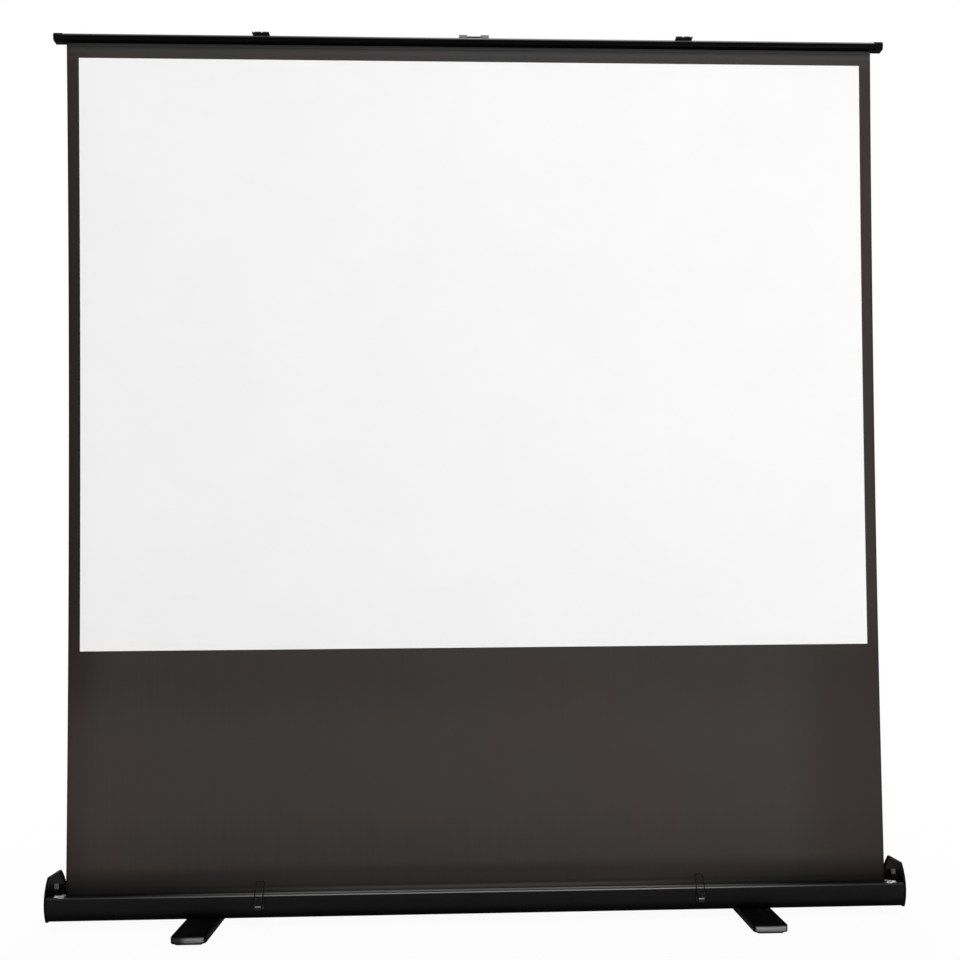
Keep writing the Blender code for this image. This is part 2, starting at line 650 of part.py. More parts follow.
def make_end_cap(side, label):
    """A moulded cap: plate, ear pocket, spigots into the case, and the cradle for the bar's end."""
    inner = side * CAP_FACE
    outer = side * (CAP_FACE + CAP_THICKNESS)
    name = f"end_cap_{label}"
    plate = slab(name, [cap_outline(0, CAP_BOTTOM, EAR_TOP, 0.003)], min(inner, outer), max(inner, outer),
                 "X", "black_plastic")
    soften(plate, 0.0008, 1)
    pocket_depth = CAP_THICKNESS / 2
    pocket = cap_outline(EAR_WALL, CASE_TOP + EAR_WALL, EAR_TOP - EAR_WALL, 0.0015, 4)
    reach = sorted((inner - side * 0.01, inner + side * pocket_depth))
    cut(plate, slab(name + "_pocket", [pocket], *reach, "X", None))

    cradle_root = inner + side * (pocket_depth + 0.001)
    ends = sorted((inner - side * CRADLE_REACH, cradle_root))
    tab_ends = sorted((inner - side * CRADLE_TAB, cradle_root))
    front = BAR_FRONT - BAR_CAP_PROUD - 2 * GAP
    rear = BAR_REAR + BAR_CAP_PROUD + 2 * GAP
    ledge_top = BAR_CLOSED - BAR_CAP_PROUD - GAP
    ledge_bottom = CASE_TOP + 2 * GAP
    cradle = rounded([
        (front, ledge_bottom, 0), (rear + CRADLE_WALL, ledge_bottom, 0),
        (rear + CRADLE_WALL, ledge_top + 0.017, 0.001), (rear, ledge_top + 0.019, 0.0008),
        (rear, ledge_top, 0.001), (front, ledge_top, 0),
    ], 2)
    join(plate, slab(name + "_cradle", [cradle], *ends, "X", None))
    tab = rounded([
        (front - CRADLE_WALL, ledge_bottom + 0.0001, 0), (front + 0.0005, ledge_bottom + 0.0001, 0),
        (front + 0.0005, ledge_top - 0.0002, 0), (front, ledge_top + 0.0004, 0), (front, ledge_top + 0.010, 0.0008),
        (front - CRADLE_WALL, ledge_top + 0.008, 0.001),
    ], 2)
    join(plate, slab(name + "_tab", [tab], *tab_ends, "X", None))
    for i, port in enumerate((REAR_LIP_PORT, *FLOOR_PORTS)):
        reach = sorted((outer - side * CAP_SCREW_DEPTH, outer + side * 0.005))
        cut(plate, disc(f"{name}_screw_{i}", CAP_SCREW_RADIUS, *reach, "X", port, None, steps=16))
    for wall in (-1, 1):
        y_outer = wall * (wall_depth(FLOOR_TOP + 0.012) - CASE_WALL - 2 * GAP)
        y_inner = y_outer - wall * SPIGOT_THICKNESS
        low = (min(inner - side * SPIGOT_LENGTH, inner + side * 0.002), min(y_inner, y_outer), FLOOR_TOP + 0.012)
        high = (max(inner - side * SPIGOT_LENGTH, inner + side * 0.002), max(y_inner, y_outer), CASE_TOP - 0.016)
        join(plate, box(f"{name}_spigot_{wall}", low, high, None))
    return plate


def make_roller_bracket(side, label):
    """Bent steel: a plate that carries the roller, and a flange over the case's front lip."""
    name = f"roller_bracket_{label}"
    inner = side * ROLLER_BRACKET_X
    outer = side * (ROLLER_BRACKET_X + ROLLER_BRACKET_THICKNESS)
    lip_rear = FRONT_LIP - wall_depth(CASE_TOP)
    flange_bottom = CASE_TOP + GAP
    flange_top = flange_bottom + 0.0015
    base_front = -wall_depth(FLOOR_TOP) + CASE_WALL + 0.004
    base_rear = ROLLER_Y + 0.014
    plate = rounded([
        (base_front, FLOOR_TOP + GAP, 0.001), (base_rear, FLOOR_TOP + GAP, 0.002),
        (ROLLER_Y + 0.020, ROLLER_Z, 0.006), (GUIDE_ROD_Y + 0.005, GUIDE_ROD_Z - 0.004, 0.002),
        (GUIDE_ROD_Y + 0.005, CASE_TOP - CASE_WALL, 0.002), (lip_rear + 0.008, CASE_TOP - CASE_WALL, 0),
        (lip_rear + 0.008, flange_top, 0.001), (lip_rear + GAP * 2, flange_top, 0),
        (lip_rear + GAP * 2, ROLLER_Z + 0.018, 0), (-wall_depth(ROLLER_Z) + 0.006, ROLLER_Z + 0.008, 0.002),
        (-wall_depth(ROLLER_Z) + 0.006, ROLLER_Z - 0.010, 0.002),
    ])
    hole_radius = ROLLER_PIN_RADIUS if side < 0 else ARBOR_RADIUS
    pin_hole = circle((ROLLER_Y, ROLLER_Z), hole_radius + PIVOT_PLAY)
    rod_hole = circle((GUIDE_ROD_Y, GUIDE_ROD_Z), GUIDE_ROD_RADIUS + PIVOT_PLAY)
    bracket = slab(name, [plate, pin_hole, rod_hole], min(inner, outer), max(inner, outer), "X", "dark_steel")
    flange = sorted((side * (CAP_FACE - 2 * GAP), side * (CAP_FACE - 2 * GAP - LIP_FLANGE_WIDTH)))
    low = (flange[0], lip_rear - LIP_FLANGE_DEPTH + 0.006, flange_bottom)
    high = (flange[1], lip_rear + 0.0045, flange_top)
    join(bracket, box(name + "_flange", low, high, None))
    return bracket


def make_roller():
    """Tube, end pieces, the winding that stays on it, and the spring that keeps the fabric taut."""
    axis_point = (ROLLER_Y, ROLLER_Z)
    turning = pivot("roller_axis", (0, ROLLER_Y, ROLLER_Z))
    half = TUBE_END
    bore = TUBE_RADIUS - TUBE_WALL
    disc("roller_tube", TUBE_RADIUS, -half, half, "X", axis_point, "bare_aluminium", turning, bore, 24)
    plug = bore - GAP
    middle = (-half + 0.008, ROLLER_Y, ROLLER_Z)
    pin_end = ROLLER_BRACKET_X + ROLLER_BRACKET_THICKNESS + 0.002 - half + 0.008
    turned("roller_plug", [
        (0, 0.020), (plug, 0.020), (plug, -0.0083), (TUBE_RADIUS - 0.0004, -0.0083),
        (TUBE_RADIUS - 0.0012, -0.0105), (ROLLER_PIN_RADIUS, -0.0110), (ROLLER_PIN_RADIUS, -pin_end), (0, -pin_end),
    ], "X", middle, "black_plastic", turning)
    bush_hole = ARBOR_RADIUS + PIVOT_PLAY
    turned("roller_bush", [
        (bush_hole, 0.0110), (TUBE_RADIUS - 0.0012, 0.0105), (TUBE_RADIUS - 0.0004, 0.0083), (plug, 0.0083),
        (plug, -0.020), (bush_hole, -0.020),
    ], "X", (half - 0.008, ROLLER_Y, ROLLER_Z), "white_nylon", turning)

    arbor_end = ROLLER_BRACKET_X + ROLLER_BRACKET_THICKNESS + 0.003
    arbor_start = arbor_end - ARBOR_LENGTH
    disc("spring_arbor", ARBOR_RADIUS, arbor_start, arbor_end, "X", axis_point, "zinc_steel", steps=16)
    coil = coil_points((half - 0.034, ROLLER_Y, ROLLER_Z), (-1, 0, 0), ROLLER_SPRING_RADIUS,
                       ROLLER_SPRING_PITCH, ROLLER_SPRING_TURNS, 0.0)
    print_least_gap("roller_spring", coil, ROLLER_SPRING_WIRE)
    wire("roller_spring", coil, ROLLER_SPRING_WIRE, (half - 0.034, ROLLER_Y, ROLLER_Z), "spring_steel", None, 1)

    per_turn = 24
    inside = circle((0, 0), TUBE_RADIUS + GAP, per_turn)
    spiral = []
    for i in range(per_turn + 1):
        radius = BARE_ROLL_RADIUS - FABRIC_THICKNESS * (1 - i / per_turn)
        angle = 2 * math.pi * i / per_turn
        spiral.append((radius * math.cos(angle), radius * math.sin(angle)))
    slab("fabric_winding", [spiral, inside], -FABRIC_WIDTH / 2, FABRIC_WIDTH / 2, "X", "black_fabric",
         turning, axis_point)


def make_guide_rod():
    end = ROLLER_BRACKET_X + ROLLER_BRACKET_THICKNESS + 0.001
    disc("guide_rod", GUIDE_ROD_RADIUS, -end, end, "X", (GUIDE_ROD_Y, GUIDE_ROD_Z), "zinc_steel", steps=16)


def fabric_path():
    """The fabric's section below the slot, off the back of the roll and past the front of the rod."""
    roller, rod = Vector((ROLLER_Y, ROLLER_Z)), Vector((GUIDE_ROD_Y, GUIDE_ROD_Z))
    roll_radius = BARE_ROLL_RADIUS + FABRIC_THICKNESS / 2 + 2 * GAP
    rod_radius = GUIDE_ROD_Y - FABRIC_Y
    between = rod - roller
    lean = math.atan2(between.y, between.x)
    angle = lean - math.acos((roll_radius + rod_radius) / between.length)
    outward = Vector((math.cos(angle), math.sin(angle)))
    return [tuple(roller + outward * roll_radius), tuple(rod - outward * rod_radius), (FABRIC_Y, GUIDE_ROD_Z)]


def make_fabric():
    """The sheet, drawn in a little between its ends, with side edges that curl back."""
    black_rows, image_rows, top_rows = 5, 10, 1
    heights = [IMAGE_BOTTOM - BLACK_DROP * (1 - i / black_rows) for i in range(1, black_rows + 1)]
    heights += [IMAGE_BOTTOM + IMAGE_HEIGHT * i / image_rows for i in range(1, image_rows + 1)]
    heights += [IMAGE_TOP + (TOP_BORDER + 0.002) * i / top_rows for i in range(1, top_rows + 1)]
    section = fabric_path() + [(FABRIC_Y, CASE_TOP)] + [(FABRIC_Y, z) for z in heights]
    half_image, half_width = IMAGE_WIDTH / 2, FABRIC_WIDTH / 2
    inner_columns = 8
    columns = [-half_width, -(half_width + half_image) / 2]
    columns += [-half_image + IMAGE_WIDTH * i / inner_columns for i in range(inner_columns + 1)]
    columns += [(half_width + half_image) / 2, half_width]
    near_edge = half_image - (CURL_WIDTH - SIDE_BORDER)
    columns = sorted(columns + [-near_edge, near_edge])

    shape = bmesh.new()
    across, up = len(columns) - 1, len(section) - 1
    bmesh.ops.create_grid(shape, x_segments=across, y_segments=up, size=0.5)
    for vert in shape.verts:
        x = columns[round((vert.co.x + 0.5) * across)]
        y, z = section[round((vert.co.y + 0.5) * up)]
        height = min(max((z - CASE_TOP) / (BAR_BOTTOM - CASE_TOP), 0), 1)
        bow = 4 * height * (1 - height)
        edge = max(0, (abs(x) - (half_width - CURL_WIDTH)) / CURL_WIDTH)
        vert.co = (x * (1 - bow * EDGE_WAIST / half_width), y + EDGE_CURL * bow * edge**2, z)
    for face in shape.faces:
        middle = face.calc_center_median()
        in_image = abs(middle.x) < half_image - 0.003 and IMAGE_BOTTOM < middle.z < IMAGE_TOP
        face.material_index = 1 if in_image else 0
        face.smooth = True
    mesh = bpy.data.meshes.new("screen_fabric")
    shape.to_mesh(mesh)
    shape.free()
    sheet = bpy.data.objects.new("screen_fabric", mesh)
    solidify = sheet.modifiers.new("thickness", "SOLIDIFY")
    solidify.thickness = FABRIC_THICKNESS
    solidify.offset = 0
    place(sheet, (0, 0, 0), None, "black_fabric")
    mesh.materials.append(finish_material("screen_fabric_image", "white_fabric"))


def make_arm(name, start, angle, layer, parent):
    """A flat bar between two pivots, with a long shallow channel in its outer face."""
    outline = arc((0, 0), ARM_RADIUS, 90, 270, 8) + arc((ARM_LENGTH, 0), ARM_RADIUS, -90, 90, 8)
    holes = [circle((0, 0), PIN_RADIUS + PIVOT_PLAY, 16), circle((ARM_LENGTH, 0), PIN_RADIUS + PIVOT_PLAY, 16)]
    inner, outer = FRAME_Y + layer * LAYER_INNER, FRAME_Y + layer * LAYER_OUTER
    arm = slab(name, [outline, *holes], min(inner, outer), max(inner, outer), "Y", "black_anodised",
               parent, start, -angle, 0.0008)
    half = ARM_CHANNEL_HEIGHT / 2
    start_x, end_x = ARM_END_LENGTH, ARM_LENGTH - ARM_END_LENGTH
    channel = arc((start_x, 0), half, 90, 270, 6) + arc((end_x, 0), half, -90, 90, 6)
    depth = sorted((outer - layer * ARM_CHANNEL_DEPTH, outer + layer * 0.004))
    cut(arm, slab(name + "_channel", [channel], *depth, "Y", None, parent, start, -angle))
    return arm


def make_pin(name, x, z, ends, parent, heads):
    """A round pivot pin along Y, with a head of its own radius at each end."""
    low, high = ends
    head_low, head_high = heads
    half = (high - low) / 2
    top = half - PIN_HEAD_THICKNESS
    profile = [
        (0, half), (head_high - 0.0006, half), (head_high, half - 0.0006), (head_high, top), (PIN_RADIUS, top),
        (PIN_RADIUS, -top), (head_low, -top), (head_low, 0.0006 - half), (head_low - 0.0006, -half), (0, -half),
    ]
    turned(name, profile, "Y", (x, (low + high) / 2, z), "zinc_steel", parent, 16)


def make_lift_spring(name, x, layer, arm_angle, parent):
    """A torsion spring round the base pin, outside its bracket, with one leg along the arm."""
    cheek = FRAME_Y + layer * CHEEK_OUTER
    start_y = cheek + layer * (SPRING_WIRE + 2 * GAP)
    centre = Vector((x, start_y, BASE_PIVOT_Z))
    along = Vector((math.cos(arm_angle), 0, math.sin(arm_angle)))
    up = Vector((-math.sin(arm_angle), 0, math.cos(arm_angle)))
    if along.x < 0:
        up = -up
    turn_sign = 1 if along.x > 0 else -1
    per_turn = 10
    coil = []
    for i in range(SPRING_TURNS * per_turn + 1):
        angle = 2 * math.pi * i / per_turn
        radial = up * math.cos(angle) - along * math.sin(angle)
        drift = layer * SPRING_PITCH * i / per_turn
        coil.append(centre + radial * SPRING_RADIUS + Vector((0, drift, 0)))
    print_least_gap(name, coil, SPRING_WIRE, per_turn)
    tang = coil[-1] - up * (SPRING_RADIUS - PIN_HEAD_RADIUS + 0.0004)
    face = FRAME_Y + layer * (LAYER_OUTER + SPRING_WIRE + GAP)
    clear = centre + up * SPRING_RADIUS + along * 0.017
    beyond = Vector((x, 0, BASE_PIVOT_Z)) + along * 0.029 + up * 0.0075 + Vector((0, face, 0))
    tip = Vector((x, 0, BASE_PIVOT_Z)) + along * SPRING_LEG + up * 0.004 + Vector((0, face, 0))
    points = [tip, beyond, clear, *coil, tang]
    wire(name, points, SPRING_WIRE, (x, start_y, BASE_PIVOT_Z), "spring_steel", parent, 1)
    return turn_sign


def make_base_bracket(label, x, layer):
    """An angle bracket on the case floor: a flange, and a cheek that holds one lower arm's pin."""
    name = f"base_bracket_{label}"
    half = BASE_BRACKET_WIDTH / 2
    bottom = FLOOR_TOP + GAP
    cheek = rounded([
        (-half, bottom, 0.001), (half, bottom, 0.001), (half, BASE_FLANGE_TOP + 0.002, 0.003),
        (ARM_RADIUS, BASE_PIVOT_Z + ARM_RADIUS, 0.009), (-ARM_RADIUS, BASE_PIVOT_Z + ARM_RADIUS, 0.009),
        (-half, BASE_FLANGE_TOP + 0.002, 0.003),
    ])
    hole = circle((0, BASE_PIVOT_Z), PIN_RADIUS + PIVOT_PLAY, 16)
    inner, outer = FRAME_Y + layer * CHEEK_INNER, FRAME_Y + layer * CHEEK_OUTER
    bracket = slab(name, [cheek, hole], min(inner, outer), max(inner, outer), "Y", "zinc_steel", None, (x, 0))
    front = FRAME_Y - CHEEK_OUTER - (0.006 if layer < 0 else 0)
    rear = FRAME_Y + CHEEK_OUTER
    low = (x - half + 0.0004, front, bottom + 0.0001)
    high = (x + half - 0.0004, rear - 0.0002, BASE_FLANGE_TOP)
    join(bracket, box(name + "_flange", low, high, None))
    return bracket


def make_top_bracket(label, x, layer, parent):
    """Bent steel from the bar's rear face over the arms, and down to one upper arm's pin."""
    name = f"top_bracket_{label}"
    half = TOP_BRACKET_WIDTH / 2
    web_bottom = TOP_PIVOT_Z + ARM_RADIUS + 0.0015
    web_top = web_bottom + BRACKET_THICKNESS
    face = BAR_REAR + GAP
    inner, outer = FRAME_Y + layer * CHEEK_INNER, FRAME_Y + layer * CHEEK_OUTER
    far = max(inner, outer)
    strip = rounded([
        (face, web_bottom, 0.001), (far - 0.001, web_bottom, 0), (far - 0.001, web_top, 0.0005),
        (face + BRACKET_THICKNESS, web_top, 0.0012), (face + BRACKET_THICKNESS, BAR_TOP - 0.003, 0.0005),
        (face, BAR_TOP - 0.003, 0.0005),
    ], 2)
    bracket = slab(name, [strip], x - half, x + half, "X", "zinc_steel", parent)
    cheek = rounded([
        (-ARM_RADIUS, TOP_PIVOT_Z - ARM_RADIUS, 0.009), (ARM_RADIUS, TOP_PIVOT_Z - ARM_RADIUS, 0.009),
        (half, web_bottom - 0.002, 0.003), (half, web_top, 0.001), (-half, web_top, 0.001),
        (-half, web_bottom - 0.002, 0.003),
    ])
    hole = circle((0, TOP_PIVOT_Z), PIN_RADIUS + PIVOT_PLAY, 16)
    join(bracket, slab(name + "_cheek", [cheek, hole], min(inner, outer), max(inner, outer), "Y", None,
                       parent, (x, 0)))
    return bracket


def make_scissor_frame():
    """Two chains of one lower and one upper arm, in two layers, that cross and fold flat."""
    top = pivot("top_bar_lift", (-PIVOT_X, FRAME_Y, TOP_PIVOT_Z))
    chains = {
        "left": (-PIVOT_X, -1, RAISED_ANGLE, ELBOW_X, "right"),
        "right": (PIVOT_X, 1, math.pi - RAISED_ANGLE, -ELBOW_X, "left"),
    }
    for label, (x, layer, angle, elbow_x, upper_label) in chains.items():
        base = pivot(f"base_pivot_{label}", (x, FRAME_Y, BASE_PIVOT_Z))
        make_base_bracket(label, x, layer)
        make_arm(f"lower_arm_{label}", (x, BASE_PIVOT_Z), angle, layer, base)
        spring_end = CHEEK_OUTER + 3 * GAP + 2 * SPRING_WIRE + SPRING_TURNS * SPRING_PITCH
        ends = (LAYER_OUTER - ARM_THICKNESS - 2 * GAP - PIN_HEAD_THICKNESS, spring_end + PIN_HEAD_THICKNESS)
        ends = sorted(FRAME_Y + layer * end for end in ends)
        heads = (0.0066, PIN_HEAD_RADIUS) if layer < 0 else (PIN_HEAD_RADIUS, 0.0066)
        make_pin(f"base_pin_{label}", x, BASE_PIVOT_Z, ends, None, heads)
        make_lift_spring(f"lift_spring_{label}", x, layer, angle, base)

        elbow = pivot(f"elbow_pivot_{upper_label}", (elbow_x, FRAME_Y, ELBOW_Z), base)
        reach = LAYER_OUTER + GAP + PIN_HEAD_THICKNESS
        make_pin(f"elbow_pin_{upper_label}", elbow_x, ELBOW_Z, (FRAME_Y - reach, FRAME_Y + reach), base,
                 (PIN_HEAD_RADIUS, PIN_HEAD_RADIUS))
        half_gap = LAYER_INNER - GAP
        disc(f"elbow_washer_{upper_label}", WASHER_RADIUS, FRAME_Y - half_gap, FRAME_Y + half_gap, "Y",
             (elbow_x, ELBOW_Z), "white_nylon", base, PIN_RADIUS + PIVOT_PLAY)
        make_arm(f"upper_arm_{upper_label}", (elbow_x, ELBOW_Z), math.pi - angle, -layer, elbow)

        make_top_bracket(label, x, -layer, top)
        ends = (LAYER_INNER - GAP - PIN_HEAD_THICKNESS, CHEEK_OUTER + GAP + PIN_HEAD_THICKNESS)
        ends = sorted(FRAME_Y - layer * end for end in ends)
        make_pin(f"top_pin_{label}", x, TOP_PIVOT_Z, ends, top, (PIN_HEAD_RADIUS, PIN_HEAD_RADIUS))
    return top


def bar_outline():
    """The top bar's outer section, counterclockwise, without its groove."""
    return rounded([
        (BAR_FRONT + 0.0015, BAR_BOTTOM, 0.0025), (BAR_REAR - 0.012, BAR_BOTTOM, 0.003),
        (BAR_REAR, BAR_BOTTOM + 0.0075, 0.002), (BAR_REAR, BAR_TOP, 0.0025),
        (BAR_FRONT + 0.0042, BAR_TOP, 0.004), (BAR_FRONT, BAR_BOTTOM + 0.0120, 0.006),
    ])


def make_top_bar(top):
    """Extruded bar with the groove that grips the fabric's hem, its end caps and its fittings."""
    hem_z = BAR_BOTTOM + BAR_WALL + HEM_CHAMBER_RADIUS + 0.0006
    outer = bar_outline()
    half_slot = BAR_SLOT_WIDTH / 2
    slot_angle = math.degrees(math.asin(half_slot / HEM_CHAMBER_RADIUS))
    chamber = arc((FABRIC_Y, hem_z), HEM_CHAMBER_RADIUS, -90 + slot_angle, 270 - slot_angle, 12)
    groove = [(FABRIC_Y - half_slot, BAR_BOTTOM - 0.005), (FABRIC_Y + half_slot, BAR_BOTTOM - 0.005), *chamber]
    bar = slab("top_bar", [outer], -BAR_END, BAR_END, "X", "black_anodised", top)
    cut(bar, slab("top_bar_groove", [groove], -BAR_END - 0.01, BAR_END + 0.01, "X", None, top))
    web = HEM_CHAMBER_RADIUS + BAR_WALL
    low, high = BAR_BOTTOM + BAR_WALL, BAR_TOP - BAR_WALL
    rear_hollow = rounded([
        (FABRIC_Y + web, low + 0.0022, 0.0006), (BAR_REAR - 0.0118, low + 0.0003, 0.001),
        (BAR_REAR - BAR_WALL, BAR_BOTTOM + 0.0085, 0.001), (BAR_REAR - BAR_WALL, high, 0.0012),
        (FABRIC_Y + web, high, 0.0008),
    ], 2)
    front_hollow = rounded([
        (BAR_FRONT + BAR_WALL + 0.002, low + 0.0003, 0.0012), (FABRIC_Y - web, low, 0.0006),
        (FABRIC_Y - web, high, 0.0008), (BAR_FRONT + 0.0052, high, 0.0026),
        (BAR_FRONT + BAR_WALL + 0.0002, BAR_BOTTOM + 0.0120, 0.004),
    ], 2)
    top_hollow = rounded([
        (FABRIC_Y - web + 0.0015, hem_z + web, 0.0006), (FABRIC_Y + web - 0.0015, hem_z + web, 0.0006),
        (FABRIC_Y + web - 0.0015, high, 0.0006), (FABRIC_Y - web + 0.0015, high, 0.0006),
    ], 2)
    for label, hollow in (("rear", rear_hollow), ("front", front_hollow), ("top", top_hollow)):
        cut(bar, slab(f"top_bar_{label}_hollow", [hollow], -BAR_END - 0.01, BAR_END + 0.01, "X", None, top))

    disc("hem_rod", HEM_ROD_RADIUS, -FABRIC_WIDTH / 2, FABRIC_WIDTH / 2, "X", (FABRIC_Y, hem_z + 0.0005),
         "grey_plastic", top, steps=12)
    for side, label in ((-1, "left"), (1, "right")):
        name = f"bar_cap_{label}"
        end = side * (BAR_END + GAP + BAR_CAP_END)
        start = end - side * BAR_CAP_LENGTH
        sleeve = slab(name, [grown(outer, BAR_CAP_PROUD)], min(start, end), max(start, end), "X",
                      "black_plastic", top)
        soften(sleeve, 0.0009, 2)
        bore = sorted((start - side * 0.01, side * (BAR_END + GAP)))
        cut(sleeve, slab(name + "_bore", [grown(outer, GAP)], *bore, "X", None, top))


def make_strike(side, label, top):
    """A formed plate on the bar, with an upturned lip notched for the two legs of the latch's bail."""
    name = f"latch_strike_{label}"
    x = side * (LATCH_X - STRIKE_INSET)
    bottom = BAR_TOP + GAP
    plate_top = bottom + STRIKE_PLATE
    tip = BAR_FRONT - STRIKE_REACH
    half = STRIKE_WIDTH / 2
    section = rounded([
        (BAR_FRONT + 0.021, bottom, 0.0003), (BAR_FRONT + 0.021, plate_top, 0.0003),
        (tip + STRIKE_PLATE, plate_top, 0.0005), (tip + STRIKE_PLATE, bottom + STRIKE_LIP, 0.0004),
        (tip, bottom + STRIKE_LIP, 0.0004), (tip, bottom, 0.0012),
    ], 2)
    strike = slab(name, [section], x - half, x + half, "X", "dark_steel", top)
    half_notch = BAIL_WIRE + NOTCH_PLAY
    for edge in (-1, 1):
        middle = side * LATCH_X + edge * BAIL_LEG_X
        low = (middle - half_notch, tip - 0.005, plate_top + 0.0001)
        high = (middle + half_notch, tip + STRIKE_PLATE + 0.0005, bottom + STRIKE_LIP + 0.005)
        cut(strike, box(f"{name}_notch_{edge}", low, high, None, top))
    return strike


def make_handle(top):
    """Two brackets on the bar, and a bail on an axle between them that lies back and swings up."""
    front = BAR_FRONT + 0.004
    bottom = BAR_TOP + GAP
    pivot_y = front + HANDLE_AXLE_SETBACK
    pivot_z = bottom + HANDLE_AXLE + 0.0007
    height = bottom + HANDLE_BRACKET_HEIGHT
    rear = front + HANDLE_BRACKET_DEPTH
    section = rounded([
        (front, bottom, 0.0005), (rear, bottom, 0.0005), (rear, bottom + 0.003, 0.002),
        (rear - 0.005, height, 0.003), (front + 0.004, height, 0.003), (front, bottom + 0.005, 0.002),
    ])
    hole = circle((pivot_y, pivot_z), HANDLE_AXLE + PIVOT_PLAY, 16)
    inner_face = HANDLE_SPAN / 2 - HANDLE_BRACKET_WIDTH / 2
    for side, label in ((-1, "left"), (1, "right")):
        x = side * HANDLE_SPAN / 2
        bracket = slab(f"handle_bracket_{label}", [section, hole], x - HANDLE_BRACKET_WIDTH / 2,
                       x + HANDLE_BRACKET_WIDTH / 2, "X", "grey_plastic", top)
        soften(bracket, 0.0008, 2, 50)
    swing = pivot("handle_swing", (0, pivot_y, pivot_z), top)
    leg_x = inner_face - HANDLE_WIRE - 0.0012
    grip_half = HANDLE_GRIP_WIDTH / 2
    end_y = pivot_y + HANDLE_LEG
    turn_y = rear + 0.004
    corners = [(-leg_x, pivot_y), (-leg_x, turn_y), (-grip_half, end_y - 0.004), (-grip_half + 0.003, end_y),
               (grip_half - 0.003, end_y), (grip_half, end_y - 0.004), (leg_x, turn_y), (leg_x, pivot_y)]
    path = fillet_path([(x, y, pivot_z) for x, y in corners], 0.0018)
    bail = wire("handle_bail", path, HANDLE_WIRE, (0, pivot_y, pivot_z), "dark_steel", swing)
    axle_end = inner_face + 0.008
    join(bail, disc("handle_axle", HANDLE_AXLE, -axle_end, axle_end, "X", (pivot_y, pivot_z), None, swing,
                    steps=16))
    grip_end = grip_half - 0.008
    disc("handle_grip", GRIP_RADIUS, -grip_end, grip_end, "X", (end_y, pivot_z), "black_rubber", swing,
         HANDLE_WIRE + GAP, 16)


def bail_path(eye):
    """A bail's centre line in (y, z): eye, knee, and the crossbar just in front of the strike.

    The bail is as long as the closed latch needs, from its eye to its seat behind the strike's
    lip. At rest it leans back on the case's front lip.
    """
    strike_tip = BAR_FRONT - STRIKE_REACH
    seat_y = strike_tip + STRIKE_PLATE + BAIL_WIRE
    seat_z = BAR_CLOSED + BAR_HEIGHT + GAP + STRIKE_PLATE + BAIL_WIRE
    reach = math.hypot(seat_y - eye[0], seat_z - eye[1])
    bar_y = strike_tip - BAIL_WIRE - BAIL_CLEARANCE
    bar_z = eye[1] + math.sqrt(reach**2 - (bar_y - eye[0]) ** 2)
    lip_z = CASE_TOP - LIP_RADIUS
    lip_y = LIP_RADIUS - wall_depth(lip_z)
    clear = LIP_RADIUS + BAIL_WIRE + GAP
    to_lip = math.atan2(lip_z - bar_z, lip_y - bar_y)
    slope = math.tan(to_lip - math.asin(clear / math.hypot(lip_y - bar_y, lip_z - bar_z)))
    return [eye, (eye[0], bar_z + (eye[0] - bar_y) * slope), (bar_y, bar_z)]


